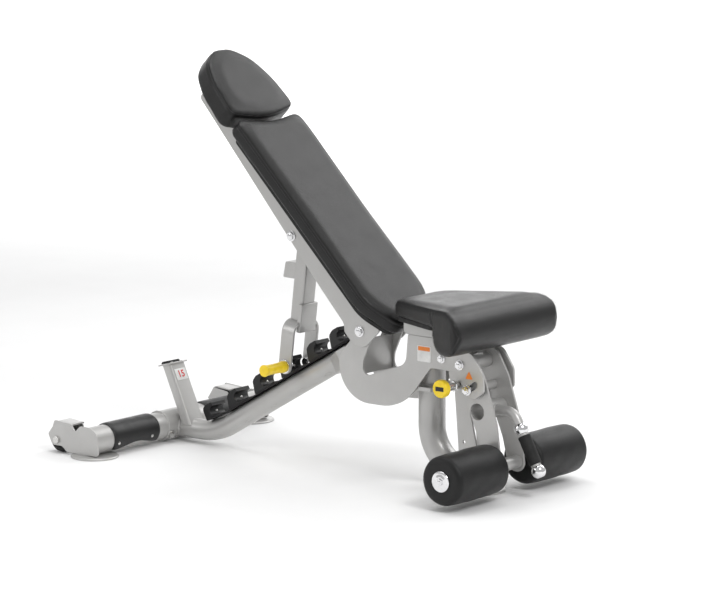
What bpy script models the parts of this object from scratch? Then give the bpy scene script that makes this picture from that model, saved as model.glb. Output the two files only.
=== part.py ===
"""Adjustable weight bench: every separate piece at its real size, in metres, +Z up.

The bench is laid out in its side plane. x runs from the rear cross tube's axis towards the seat, z runs up
from the floor, and y is the width, with the near side at -y. The empty "bench" then moves everything back by
ORIGIN_X, so that the origin is the centre of the footprint.
The back is drawn lying flat, with its head towards -x, under an empty on its pivot that tilts it up.
The ladder is drawn along x under an empty at the spine's bend, and the strut hangs down from its own pivot.
"""
import math

import bmesh
import bpy
from mathutils import Matrix, Vector

# Driving dimensions, metres
GAP = 0.0003                      # left between pieces that touch
REAR_TUBE_R = 0.036
REAR_TUBE_Z = 0.0423
REAR_HALF = 0.332                 # half the rear cross tube's length
COLLAR_R = 0.0385
PLATE = 0.005
FOOT_R = 0.0625
FOOT_HIGH = 0.006
REAR_FOOT_Y = 0.308
FRONT_FOOT_X = 1.018
WHEEL_X = -0.107
WHEEL_Z = 0.035
WHEEL_R = 0.0335
SPINE_R = 0.027
SPINE_Z = 0.036
SPINE_BEND_X = 0.1524
SPINE_ANGLE = math.radians(30)
SPINE_RUN = 0.590                 # from the bend's corner to the spine's upper end
HOOK_PLACES = (0.0335, 0.1360, 0.2385, 0.3435, 0.4485, 0.5350)   # along the spine, from the bend's corner
BEND_TANGENT = 0.0536              # where the spine's bend runs out into its straight
SPINE_BEND_R = 0.200
SEATED_HOOK = 3                   # the hook, counted from the rear, that holds the strut as drawn
HOOK_HALF = 0.0275
BAR_R = 0.011
BAR_OVER_STRIP = 0.018
YOKE_IN = 0.059                   # the yoke plates' inner and outer faces
YOKE_OUT = 0.065
BACK_PIVOT = (0.690, 0.373)
BACK_ANGLE = math.radians(45)
RAIL_IN = 0.066
RAIL_OUT = 0.072
STRUT_REACH = 0.3132              # along the back, from its pivot to the strut's pivot
STRUT_DROP = -0.002
BACK_BOARD_LOW = 0.0528
BACK_FACE = 0.105                 # height of the back pad's face over the pivot line
PAD_HALF = 0.125
POST_TUBE_R = 0.034
POST_TUBE_X = 0.8645
POST_TUBE_Z = 0.0403
LEG_PIVOT = (1.001, 0.323)
LEG_IN = 0.044
LEG_OUT = 0.050
STOP_AT = (0.023, -0.060)         # from the leg pivot, like the next two
RECEIVER_AT = (0.043, -0.114)
AXLE_AT = (0.096, -0.246)
LEG_SWING = math.radians(25)
PIN_AT = (0.993, 0.272)
BOLT_R = 0.0077
BOLT_HOLE = 0.0081
ROLLER_R = 0.063
ROLLER_IN = 0.062
ROLLER_OUT = 0.262
SEAT_REAR = 0.812
SEAT_FRONT = 1.105
SEAT_REAR_HALF = 0.096
SEAT_FRONT_HALF = 0.216
SEAT_UNDER = 0.428
HANDLE_BEND = (0.118, -0.112)
HANDLE_TILT = math.radians(-29)
HANDLE_R = 0.0125
HANDLE_LONG = 0.176
FERRULE_R = 0.018

HANDLE_END_X = LEG_PIVOT[0] + HANDLE_BEND[0] - (HANDLE_LONG - FERRULE_R) * math.sin(HANDLE_TILT) + FERRULE_R
ORIGIN_X = (HANDLE_END_X + WHEEL_X - WHEEL_R) / 2


# Scene, materials and places

for old in list(bpy.data.objects):
    bpy.data.objects.remove(old, do_unlink=True)
BENCH = bpy.data.collections.new("adjustable_weight_bench")
CUTTERS = bpy.data.collections.new("cutters")
bpy.context.scene.collection.children.link(BENCH)
bpy.context.scene.collection.children.link(CUTTERS)


def material(name, colour, roughness, metallic=0.0):
    made = bpy.data.materials.new(name)
    made.use_nodes = True
    shader = made.node_tree.nodes["Principled BSDF"]
    shader.inputs["Base Color"].default_value = (*colour, 1.0)
    shader.inputs["Roughness"].default_value = roughness
    shader.inputs["Metallic"].default_value = metallic
    return made


PAINT = material("silver_powder_coat", (0.50, 0.50, 0.49), 0.45, 0.3)
VINYL = material("black_vinyl", (0.02, 0.02, 0.02), 0.45)
FOAM = material("black_foam", (0.012, 0.012, 0.012), 0.6)
PLASTIC = material("black_plastic", (0.015, 0.015, 0.016), 0.4)
RUBBER = material("black_rubber", (0.012, 0.012, 0.012), 0.8)
YELLOW = material("yellow_plastic", (0.92, 0.72, 0.04), 0.4)
CHROME = material("chrome", (0.8, 0.8, 0.8), 0.12, 1.0)
BOARD = material("black_board", (0.03, 0.03, 0.03), 0.7)


def empty(name, place, tilt=0.0, parent=None):
    made = bpy.data.objects.new(name, None)
    made.location = (place[0], 0.0, place[1])
    made.rotation_euler.y = tilt
    made.parent = parent
    BENCH.objects.link(made)
    return made


bench = empty("bench", (-ORIGIN_X, 0.0))
spine_axis = empty("spine_axis", (SPINE_BEND_X, SPINE_Z), -SPINE_ANGLE, bench)
back_axis = empty("back_axis", BACK_PIVOT, BACK_ANGLE, bench)
leg_axis = empty("leg_axis", LEG_PIVOT, 0.0, bench)
handle_axis = empty("handle_axis", HANDLE_BEND, HANDLE_TILT, leg_axis)


def strut_places():
    """The strut's pivot, its tilt and its length, from the seated hook and the back's angle."""
    cos_b, sin_b = math.cos(BACK_ANGLE), math.sin(BACK_ANGLE)
    pivot = Vector((
        BACK_PIVOT[0] - STRUT_REACH * cos_b + STRUT_DROP * sin_b,
        BACK_PIVOT[1] + STRUT_REACH * sin_b + STRUT_DROP * cos_b,
    ))
    bar = Vector((
        SPINE_BEND_X + seated_x() * math.cos(SPINE_ANGLE) - hook_z() * math.sin(SPINE_ANGLE),
        SPINE_Z + seated_x() * math.sin(SPINE_ANGLE) + hook_z() * math.cos(SPINE_ANGLE),
    ))
    down = bar - pivot
    return pivot, math.atan2(-down.x, -down.y), down.length


def seated_x():
    """Distance of the seated hook's cup along the spine, from the bend's corner."""
    return HOOK_PLACES[SEATED_HOOK]


def hook_z():
    """Height of the hook cups over the spine's axis."""
    return SPINE_R + 0.0033 + BAR_OVER_STRIP


STRUT_PIVOT, STRUT_TILT, STRUT_LONG = strut_places()
strut_axis = empty("strut_axis", STRUT_PIVOT, STRUT_TILT, bench)


# Outlines

def rounded(corners, step=18.0):
    """Closed outline through corners (x, y, radius), with an arc in place of each corner that has a radius."""
    points = []
    for i, (x, y, radius) in enumerate(corners):
        here = Vector((x, y))
        back = (Vector(corners[i - 1][:2]) - here).normalized()
        ahead = (Vector(corners[(i + 1) % len(corners)][:2]) - here).normalized()
        half = math.acos(max(-1.0, min(1.0, back.dot(ahead)))) / 2
        if radius == 0:
            points.append(here)
            continue
        centre = here + (back + ahead).normalized() * radius / math.sin(half)
        start = here + back * radius / math.tan(half) - centre
        turn = math.copysign(math.pi - 2 * half, -back.cross(ahead))
        steps = max(1, round(abs(math.degrees(turn)) / step))
        points += [centre + Matrix.Rotation(turn * k / steps, 2) @ start for k in range(steps + 1)]
    return points


def arc(centre, radius, start, end, step=15.0):
    """Points on an arc, angles in degrees from +x towards +y."""
    steps = max(2, round(abs(end - start) / step))
    angles = [math.radians(start + (end - start) * k / steps) for k in range(steps + 1)]
    return [Vector((centre[0] + radius * math.cos(a), centre[1] + radius * math.sin(a))) for a in angles]


def circle(centre, radius, step=18.0):
    return arc(centre, radius, 0.0, 360.0, step)[:-1]


def arc_slot(centre, radius, half_width, start, end):
    """A slot that follows an arc and has round ends."""
    first = centre[0] + radius * math.cos(math.radians(start)), centre[1] + radius * math.sin(math.radians(start))
    last = centre[0] + radius * math.cos(math.radians(end)), centre[1] + radius * math.sin(math.radians(end))
    return (
        arc(centre, radius + half_width, start, end, 8.0)
        + arc(last, half_width, end, end + 180.0, 30.0)[1:-1]
        + arc(centre, radius - half_width, end, start, 8.0)
        + arc(first, half_width, start + 180.0, start + 360.0, 30.0)[1:-1]
    )


def mirrored(half):
    """Corners given for y > 0 from one end to the other, and their mirror images back again."""
    return half + [(x, -y, radius) for x, y, radius in reversed(half) if y > 1e-6]


# Solids

def add(name, data, look, parent):
    made = bpy.data.objects.new(name, data)
    made.parent = parent
    data.materials.append(look)
    BENCH.objects.link(made)
    return made


def slab(name, outline, low, high, look, parent=bench, across=True, holes=()):
    """A flat outline made solid: across the width when across is set, otherwise upwards."""
    curve = bpy.data.curves.new(name, "CURVE")
    curve.dimensions = "2D"
    curve.fill_mode = "BOTH"
    curve.extrude = (high - low) / 2
    for ring in (outline, *holes):
        spline = curve.splines.new("POLY")
        spline.points.add(len(ring) - 1)
        for point, (x, y) in zip(spline.points, ring):
            point.co = (x, y, 0.0, 1.0)
        spline.use_cyclic_u = True
    made = add(name, curve, look, parent)
    if across:
        made.rotation_euler.x = math.radians(90)
        made.location.y = (low + high) / 2
    else:
        made.location.z = (low + high) / 2
    return made


def to_mesh(curve_object):
    """The same piece as a welded mesh, so that it can be cut, joined or bevelled."""
    bpy.context.view_layer.update()
    evaluated = curve_object.evaluated_get(bpy.context.evaluated_depsgraph_get())
    mesh = bpy.data.meshes.new_from_object(evaluated)
    work = bmesh.new()
    work.from_mesh(mesh)
    bmesh.ops.remove_doubles(work, verts=work.verts, dist=0.00001)
    work.to_mesh(mesh)
    work.free()
    name, place, parent = curve_object.name, curve_object.matrix_world.copy(), curve_object.parent
    bpy.data.objects.remove(curve_object, do_unlink=True)
    made = bpy.data.objects.new(name, mesh)
    made.parent = parent
    BENCH.objects.link(made)
    bpy.context.view_layer.update()
    made.matrix_world = place
    return made


def rod(name, radius, low, high, place, look, parent=bench, axis="Y", sides=24):
    """A solid cylinder along the width, or along x or z, from low to high."""
    mesh = bpy.data.meshes.new(name)
    turn = {"X": Matrix.Rotation(math.pi / 2, 4, "Y"), "Y": Matrix.Rotation(-math.pi / 2, 4, "X"), "Z": Matrix()}
    work = bmesh.new()
    bmesh.ops.create_cone(
        work, cap_ends=True, segments=sides, radius1=radius, radius2=radius, depth=high - low, matrix=turn[axis]
    )
    work.to_mesh(mesh)
    work.free()
    made = add(name, mesh, look, parent)
    middle = (low + high) / 2
    made.location = {
        "X": (middle, place[0], place[1]),
        "Y": (place[0], middle, place[1]),
        "Z": (place[0], place[1], middle),
    }[axis]
    return made


def turned(name, profile, place, look, parent=bench, along_width=True, sides=24):
    """A turned solid from profile points (radius, distance along the axis), the farthest distance first.

    A profile that starts and ends on the axis is solid; one that comes back to its first point has a bore.
    """
    mesh = bpy.data.meshes.new(name)
    count = len(profile)
    closed = profile[0][0] > 0
    edges = [(i, (i + 1) % count) for i in range(count if closed else count - 1)]
    mesh.from_pydata([(radius, 0.0, along) for radius, along in profile], edges, [])
    made = add(name, mesh, look, parent)
    made.location = (place[0], 0.0, place[1])
    if along_width:
        made.rotation_euler.x = math.radians(-90)
    screw = made.modifiers.new("turn", "SCREW")
    screw.steps = sides
    screw.render_steps = sides
    screw.use_merge_vertices = True
    screw.merge_threshold = 0.00001
    screw.use_smooth_shade = True
    return made


def ring(name, outer, inner, half, place, look, parent=bench, sides=24):
    """A sleeve across the width with a bore."""
    return turned(name, [(outer, half), (outer, -half), (inner, -half), (inner, half)], place, look, parent, True, sides)


def box(name, low, high, look, parent=bench):
    mesh = bpy.data.meshes.new(name)
    work = bmesh.new()
    size = Vector(high) - Vector(low)
    bmesh.ops.create_cube(work, size=1.0, matrix=Matrix.Diagonal((*size, 1.0)))
    work.to_mesh(mesh)
    work.free()
    made = add(name, mesh, look, parent)
    made.location = (Vector(low) + Vector(high)) / 2
    return made


def tube(name, corners, radius, look, parent=bench, bend=0.0, resolution=5):
    """A round bar along corners (x, z) in the side plane, with every inner corner bent to one radius."""
    route = [Vector(corners[0])]
    for i in range(1, len(corners) - 1):
        here = Vector(corners[i])
        back = (Vector(corners[i - 1]) - here).normalized()
        ahead = (Vector(corners[i + 1]) - here).normalized()
        half = math.acos(back.dot(ahead)) / 2
        centre = here + (back + ahead).normalized() * bend / math.sin(half)
        start = here + back * bend / math.tan(half) - centre
        turn = math.copysign(math.pi - 2 * half, -back.cross(ahead))
        steps = max(2, round(abs(math.degrees(turn)) / 10))
        route += [centre + Matrix.Rotation(turn * k / steps, 2) @ start for k in range(steps + 1)]
    route.append(Vector(corners[-1]))
    curve = bpy.data.curves.new(name, "CURVE")
    curve.dimensions = "3D"
    curve.bevel_depth = radius
    curve.bevel_resolution = resolution
    curve.use_fill_caps = True
    spline = curve.splines.new("POLY")
    spline.points.add(len(route) - 1)
    for point, (x, z) in zip(spline.points, route):
        point.co = (x, 0.0, z, 1.0)
    return add(name, curve, look, parent)


def boolean(piece, other, operation):
    """Cut, join or intersect a mesh piece with another, which then only shapes it."""
    change = piece.modifiers.new(other.name, "BOOLEAN")
    change.operation = operation
    change.object = other
    other.hide_render = True
    other.display_type = "WIRE"
    BENCH.objects.unlink(other)
    CUTTERS.objects.link(other)


def rounded_edges(piece, width, segments=2):
    change = piece.modifiers.new("edges", "BEVEL")
    change.width = width
    change.segments = segments
    change.limit_method = "ANGLE"
    change.angle_limit = math.radians(50)
    change.use_clamp_overlap = True


def through_bolt(name, place, half, look, parent=bench, head_r=0.0125, head=0.008):
    """A bolt across the width: a round shank, and a hexagon on each end past half."""
    bolt = rod(name, BOLT_R, -half - head / 2, half + head / 2, place, look, parent)
    for side in (-1, 1):
        ends = sorted((side * half, side * (half + head)))
        boolean(bolt, rod(f"{name}_head_{side}", head_r, *ends, place, look, parent, sides=6), "UNION")
    return bolt


def sides():
    """The two sides of the bench, as (name, sign of y)."""
    return (("near", -1), ("far", 1))


def between(side, inner, outer):
    """The y range of a plate that lies from inner to outer on one side."""
    return sorted((side * inner, side * outer))


# Rear cross tube, its ends, the wheels and the feet

def rear_end():
    cross = [(0.0, REAR_HALF - GAP), (REAR_TUBE_R, REAR_HALF - GAP), (REAR_TUBE_R, 0.062), (COLLAR_R, 0.062)]
    turned("rear_cross_tube", cross + [(radius, -along) for radius, along in reversed(cross)], (0.0, REAR_TUBE_Z), PAINT)
    for word, side in sides():
        guard(word, side)
        end_bracket(word, side)
        wheel(word, side)
        foot(f"rear_foot_{word}", 0.0, side * REAR_FOOT_Y)
    foot("front_foot", FRONT_FOOT_X, 0.0)


def guard(word, side):
    """Black sleeve over the top two thirds of the cross tube, with a scalloped lower edge."""
    centre = (0.0, REAR_TUBE_Z)
    outline = arc(centre, REAR_TUBE_R + 0.0038, -50.0, 230.0) + arc(centre, REAR_TUBE_R + GAP, 230.0, -50.0)
    shell = to_mesh(slab(f"scuff_guard_{word}", outline, *between(side, 0.084, 0.272), PLASTIC))
    scallop = rod(f"scallop_{word}", 0.110, -0.060, 0.060, (side * 0.178, -0.081), PLASTIC, axis="X", sides=40)
    boolean(shell, scallop, "DIFFERENCE")


def end_bracket(word, side):
    """End plate of the cross tube, folded over the wheel, with the wheel's axle."""
    outline = rounded([
        (-0.072, 0.0065, 0.004), (REAR_TUBE_R + 0.0025, 0.0065, 0.010), (REAR_TUBE_R + 0.0025, 0.0805, 0.036),
        (-0.026, 0.0805, 0.012), (-0.044, 0.063, 0.005), (-0.056, 0.082, 0.004), (-0.116, 0.086, 0.006),
        (-0.123, 0.068, 0.006), (-0.139, 0.048, 0.006), (-0.125, 0.020, 0.014), (-0.090, 0.020, 0.010),
    ])
    plate = to_mesh(slab(f"end_bracket_{word}", outline, *between(side, REAR_HALF, REAR_HALF + PLATE), PAINT))
    fold = slab(f"fold_{word}", rounded([
        (-0.057, 0.0769, 0.0), (-0.0565, 0.0818, 0.0), (-0.114, 0.0856, 0.0), (-0.1145, 0.0806, 0.0),
    ]), *between(side, 0.286, REAR_HALF + 0.002), PAINT)
    boolean(plate, to_mesh(fold), "UNION")
    axle = rod(f"axle_{word}", 0.006, *between(side, 0.290, REAR_HALF + 0.008), (WHEEL_X, WHEEL_Z), PAINT, sides=16)
    boolean(plate, axle, "UNION")
    head = rod(f"axle_head_{word}", 0.0105, *between(side, REAR_HALF + 0.004, REAR_HALF + 0.010),
               (WHEEL_X, WHEEL_Z), PAINT, sides=16)
    boolean(plate, head, "UNION")


def wheel(word, side):
    low, high = between(side, 0.298, 0.327)
    tread = [
        (0.0063, high), (WHEEL_R - 0.004, high), (WHEEL_R, high - 0.005), (WHEEL_R, low + 0.005),
        (WHEEL_R - 0.004, low), (0.0063, low),
    ]
    turned(f"transport_wheel_{word}", tread, (WHEEL_X, WHEEL_Z), RUBBER)


def foot(name, x, y):
    """A round pad with a chamfered rim, flat on the floor."""
    profile = [(0.0, FOOT_HIGH), (FOOT_R - 0.004, FOOT_HIGH), (FOOT_R, FOOT_HIGH - 0.003), (FOOT_R, 0.0), (0.0, 0.0)]
    made = turned(name, profile, (x, 0.0), PAINT, along_width=False, sides=32)
    made.location.y = y


# Spine, ladder and rear post

def spine():
    end = (SPINE_BEND_X + SPINE_RUN * math.cos(SPINE_ANGLE), SPINE_Z + SPINE_RUN * math.sin(SPINE_ANGLE))
    backbone = to_mesh(tube("spine_tube", [(0.010, SPINE_Z), (SPINE_BEND_X, SPINE_Z), end], SPINE_R, PAINT, bend=0.2))
    cope = rod("spine_cope", COLLAR_R + GAP, -0.05, 0.05, (0.0, REAR_TUBE_Z), PAINT)
    boolean(backbone, cope, "DIFFERENCE")
    box("ladder_strip", (0.075, -0.027, SPINE_R + GAP), (SPINE_RUN - 0.005, 0.027, SPINE_R + 0.003), PLASTIC, spine_axis)
    for number in range(len(HOOK_PLACES)):
        hook(number)
    spine_saddle()


def hook(number):
    """A claw that is open forwards: a thick leaning back, a lip over the cup, and a foot that runs out to a toe."""
    x, z = HOOK_PLACES[number], hook_z()
    place, heel = spine_axis, x - 0.046
    if x < BEND_TANGENT:
        turn = (BEND_TANGENT - x) / SPINE_BEND_R
        chord = SPINE_ANGLE - turn / 2
        place = empty("bend_axis", (
            SPINE_BEND_X + BEND_TANGENT * math.cos(SPINE_ANGLE) - (BEND_TANGENT - x) * math.cos(chord),
            SPINE_Z + BEND_TANGENT * math.sin(SPINE_ANGLE) - (BEND_TANGENT - x) * math.sin(chord),
        ), turn - SPINE_ANGLE, bench)
        x, heel = 0.0, -0.034
    base = SPINE_R + 0.003 + GAP
    inner = BAR_R + 0.0020
    shell = rounded([
        (x + 0.028, base + 0.004, 0.0), (x + 0.028, base, 0.0), (heel, base, 0.0), (x - 0.036, z + 0.016, 0.012),
        (x - 0.020, z + 0.0235, 0.010), (x, z + 0.0235, 0.0),
    ])
    slab(f"ladder_hook_{number + 1}", shell + arc((x, z), inner, 84.0, 270.0), -HOOK_HALF, HOOK_HALF, PLASTIC,
         place)


def spine_saddle():
    """Flared block round the spine's upper end, which spreads it out to the yoke plates."""
    wide = YOKE_IN - GAP
    plan = rounded([(0.475, 0.031, 0.0), (0.475, -0.031, 0.0), (0.525, -wide, 0.0), (0.560, -wide, 0.0),
                    (0.560, wide, 0.0), (0.525, wide, 0.0)])
    block = to_mesh(slab("spine_saddle", plan, -0.034, 0.014, PAINT, spine_axis, across=False))
    boolean(block, rod("saddle_bore", SPINE_R + GAP, 0.40, 0.65, (0.0, 0.0), PAINT, spine_axis, "X"), "DIFFERENCE")


def rear_post():
    """Post that leans back from the spine, with a cap tilted to the lowest back position."""
    outline = [(-0.0185, 0.196), (0.048, 0.050), (0.0835, 0.050), (0.0105, 0.2035)]
    post = to_mesh(slab("rear_post", outline, -0.029, 0.029, PAINT))
    cope = rod("post_cope", SPINE_R + GAP, -0.02, 0.20, (0.0, SPINE_Z), PAINT, axis="X")
    boolean(post, cope, "DIFFERENCE")
    cap_axis = empty("cap_axis", (-0.0055, 0.2005), math.radians(-15), bench)
    boolean(post, box("post_cap", (-0.022, -0.034, -0.002), (0.022, 0.034, 0.002), PAINT, cap_axis), "UNION")
    box("post_bumper", (-0.019, -0.030, 0.002 + GAP), (0.004, 0.030, 0.0085), RUBBER, cap_axis)


# Yoke, front post and seat support

def yoke():
    outline = rounded([
        (0.724, 0.407, 0.0338), (0.656, 0.407, 0.0338), (0.655, 0.346, 0.020), (0.617, 0.306, 0.040),
        (0.617, 0.191, 0.096), (0.819, 0.191, 0.140), (0.910, 0.305, 0.016), (0.991, 0.303, 0.018),
        (1.018, 0.250, 0.006), (1.046, 0.240, 0.012), (1.075, 0.262, 0.014), (1.073, 0.305, 0.030),
        (1.037, 0.357, 0.030), (0.962, 0.357, 0.020), (0.925, 0.381, 0.010), (0.838, 0.381, 0.003),
        (0.831, 0.305, 0.030), (0.693, 0.256, 0.017), (0.696, 0.300, 0.040), (0.724, 0.362, 0.010),
    ])
    start = math.degrees(math.atan2(STOP_AT[1], STOP_AT[0]))
    slot = arc_slot(LEG_PIVOT, math.hypot(*STOP_AT), 0.0082, start, start + math.degrees(LEG_SWING))
    holes = (circle(BACK_PIVOT, BOLT_HOLE), circle(LEG_PIVOT, BOLT_HOLE), circle(SPACER_AT, BOLT_HOLE), slot)
    for word, side in sides():
        slab(f"yoke_plate_{word}", outline, *between(side, YOKE_IN, YOKE_OUT), PAINT, holes=holes)
    web = YOKE_IN - GAP
    box("yoke_web", (0.684, -web, 0.262), (0.690, web, 0.350), PAINT)
    spacer = through_bolt("yoke_spacer", SPACER_AT, YOKE_OUT + GAP, PAINT, head_r=0.011, head=0.007)
    boolean(spacer, rod("spacer_sleeve", 0.0125, -web, web, SPACER_AT, PAINT), "UNION")
    through_bolt("leg_pivot_bolt", LEG_PIVOT, YOKE_OUT + GAP, CHROME)


SPACER_AT = (0.945, 0.332)


def front_post():
    corners = [(POST_TUBE_X, 0.345), (POST_TUBE_X, POST_TUBE_Z), (1.050, POST_TUBE_Z)]
    tube("front_post", corners, POST_TUBE_R, PAINT, bend=0.11)
    wide = YOKE_IN - GAP
    saddle = box("post_saddle", (0.792, -wide, 0.242), (0.905, wide, 0.252), PAINT)
    bore = rod("post_bore", POST_TUBE_R + GAP, 0.20, 0.30, (POST_TUBE_X, 0.0), PAINT, axis="Z")
    boolean(saddle, bore, "DIFFERENCE")
    outline = rounded([
        (0.966, 0.252, 0.006), (1.002, 0.252, 0.006), (1.036, 0.114, 0.030), (1.040, 0.030, 0.010),
        (0.985, 0.030, 0.010), (0.978, 0.114, 0.030),
    ])
    for word, side in sides():
        flank = between(side, POST_TUBE_R + GAP, POST_TUBE_R + 0.006)
        slab(f"foot_brace_{word}", outline, *flank, PAINT, holes=(circle((0.996, 0.126), 0.004, 30.0),))


def pop_pin():
    """Bracket with the barrel, and the sprung pin with its pull knob."""
    outline = rounded([
        (0.962, 0.350, 0.005), (0.962, 0.292, 0.020), (0.976, 0.254, 0.006), (1.009, 0.254, 0.006),
        (1.009, 0.292, 0.006), (0.987, 0.306, 0.010), (0.987, 0.350, 0.005),
    ])
    plate = to_mesh(slab("pin_bracket", outline, -0.0587, -0.0532, PAINT, holes=(circle(PIN_AT, 0.0054),)))
    boolean(plate, barrel(), "UNION")
    knob = [
        (0.0, -0.0505), (0.0050, -0.0505), (0.0050, -0.1050), (0.0100, -0.1060), (0.0120, -0.1130),
        (0.0210, -0.1180), (0.0230, -0.1220), (0.0230, -0.1310), (0.0205, -0.1350), (0.0, -0.1350),
    ]
    turned("pop_pin_knob", knob, PIN_AT, YELLOW)


def barrel():
    """Outside of the barrel with its lock nut, and the pin's bore."""
    profile = [
        (0.0110, -0.0560), (0.0110, -0.0760), (0.0140, -0.0760), (0.0140, -0.0820), (0.0105, -0.0820),
        (0.0105, -0.1040), (0.0054, -0.1040), (0.0054, -0.0560),
    ]
    return turned("pin_barrel", profile, PIN_AT, PAINT)


def seat():
    bracket = to_mesh(slab("seat_bracket", rounded([
        (0.825, 0.4155, 0.003), (0.825, 0.3815, 0.012), (0.915, 0.3815, 0.003), (0.915, 0.4155, 0.003),
    ]), -YOKE_OUT, YOKE_OUT, PAINT))
    hollow = box("bracket_hollow", (0.80, -YOKE_IN, 0.37), (0.95, YOKE_IN, 0.4105), PAINT)
    boolean(bracket, hollow, "DIFFERENCE")
    board_outline = rounded([
        (0.822, 0.086, 0.015), (0.822, -0.086, 0.015), (0.984, -0.150, 0.015), (0.984, 0.150, 0.015),
    ])
    slab("seat_board", board_outline, 0.4158, SEAT_UNDER - GAP, BOARD, across=False)
    profile = rounded([
        (SEAT_REAR, 0.469, 0.010), (SEAT_REAR, SEAT_UNDER, 0.006), (0.990, SEAT_UNDER, 0.004),
        (0.990, 0.364, 0.044), (SEAT_FRONT, 0.364, 0.050), (SEAT_FRONT, 0.482, 0.046),
    ], 15.0)
    pad = to_mesh(slab("seat_pad", profile, -0.25, 0.25, VINYL))
    plan = rounded([
        (SEAT_REAR - 0.002, SEAT_REAR_HALF, 0.015), (SEAT_REAR - 0.002, -SEAT_REAR_HALF, 0.015),
        (SEAT_FRONT + 0.002, -SEAT_FRONT_HALF, 0.020), (SEAT_FRONT + 0.002, SEAT_FRONT_HALF, 0.020),
    ])
    boolean(pad, to_mesh(slab("seat_plan", plan, 0.30, 0.52, VINYL, across=False)), "INTERSECT")


# Back: rails, ties, board and pads, drawn flat with the head towards -x

def back():
    outline = rounded([
        (0.040, BACK_BOARD_LOW - GAP, 0.010), (-0.598, BACK_BOARD_LOW - GAP, 0.0), (-0.606, 0.0487, 0.0),
        (-0.765, 0.0487, 0.012), (-0.765, 0.014, 0.012), (-0.150, -0.0225, 0.200), (-0.046, -0.026, 0.030),
        (-0.030, -0.040, 0.014), (0.040, -0.040, 0.040),
    ])
    holes = (circle((0.0, 0.0), BOLT_HOLE), circle((-STRUT_REACH, STRUT_DROP), BOLT_HOLE))
    for word, side in sides():
        slab(f"back_rail_{word}", outline, *between(side, RAIL_IN, RAIL_OUT), PAINT, back_axis, holes=holes)
    tie = RAIL_IN - GAP
    box("stop_tie", (-0.742, -tie, 0.0236), (-0.702, tie, 0.0330), PAINT, back_axis)
    through_bolt("back_pivot_bolt", (0.0, 0.0), RAIL_OUT + GAP, CHROME, back_axis, head_r=0.013, head=0.007)
    board_outline = rounded(mirrored([(-0.590, 0.112, 0.015), (-0.010, 0.112, 0.080), (0.058, 0.060, 0.040)]))
    slab("back_board", board_outline, BACK_BOARD_LOW, 0.0645, BOARD, back_axis, across=False)
    face = to_mesh(slab("back_pad", rounded(mirrored([
        (-0.598, 0.0, 0.300), (-0.623, PAD_HALF, 0.020), (-0.015, PAD_HALF, 0.090), (0.072, 0.062, 0.050),
    ])), 0.0648, BACK_FACE, VINYL, back_axis, across=False))
    rounded_edges(face, 0.010)
    head = to_mesh(slab("head_pad", rounded(mirrored([
        (-0.604, 0.0, 0.300), (-0.636, 0.124, 0.024), (-0.760, 0.107, 0.140), (-0.845, 0.050, 0.060),
    ])), 0.049, 0.111, VINYL, back_axis, across=False))
    rounded_edges(head, 0.014)


# Strut: a tube that splits into a fork, drawn hanging down from its pivot

def strut():
    body = to_mesh(slab("strut", rounded([
        (-0.019, 0.024, 0.018), (-0.019, -0.236, 0.0), (0.019, -0.236, 0.0), (0.019, 0.024, 0.018),
    ]), -0.025, 0.025, PAINT, strut_axis, holes=(circle((0.0, 0.0), BOLT_HOLE),)))
    block = box("strut_block", (0.010, -0.0315, -0.258), (0.0225, 0.0315, -0.181), PAINT, strut_axis)
    boolean(body, block, "UNION")
    bracket = slab("bumper_bracket", [(-0.015, -0.080), (-0.052, -0.084), (-0.056, -0.126), (-0.015, -0.122)],
                   -0.022, 0.022, PAINT, strut_axis)
    boolean(body, to_mesh(bracket), "UNION")
    rod("strut_bumper", 0.010, -0.0640, -0.0557, (0.0, -0.106), RUBBER, strut_axis, axis="X", sides=16)
    for word, side in sides():
        boolean(body, fork_leg(word, side), "UNION")
        foot_pin(word, side)
    shoulder = [
        (0.0, 0.080), (0.012, 0.080), (0.012, RAIL_OUT + GAP), (BOLT_R, RAIL_OUT + GAP), (BOLT_R, RAIL_IN - GAP),
        (0.013, RAIL_IN - GAP), (0.013, 0.0254), (BOLT_R, 0.0254),
    ]
    profile = shoulder + [(radius, -along) for radius, along in reversed(shoulder)]
    turned("strut_pivot_pin", profile, (0.0, 0.0), CHROME, strut_axis)


def fork_leg(word, side):
    """Flat bar that runs down the tube's side, flares out past the spine and ends round at the foot pin."""
    low = -STRUT_LONG - 0.020
    band = [
        (0.0240, -0.196), (0.0310, -0.196), (0.0315, -0.226), (0.0510, -0.268), (0.0510, low),
        (0.0440, low), (0.0440, -0.270), (0.0240, -0.228),
    ]
    leg = slab(f"fork_leg_{word}", [(side * y, z) for y, z in band], -0.021, 0.019, PAINT, strut_axis)
    leg.rotation_euler = (math.radians(90), 0.0, math.radians(90))
    leg.location = (-0.001, 0.0, 0.0)
    leg = to_mesh(leg)
    outline = rounded([(-0.021, low, 0.0199), (0.019, low, 0.0199), (0.019, -0.190, 0.0), (-0.021, -0.190, 0.0)])
    hole = circle((0.0, -STRUT_LONG), BAR_R + GAP)
    shape = slab(f"leg_shape_{word}", outline, -0.06, 0.06, PAINT, strut_axis, holes=(hole,))
    boolean(leg, to_mesh(shape), "INTERSECT")
    return leg


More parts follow.
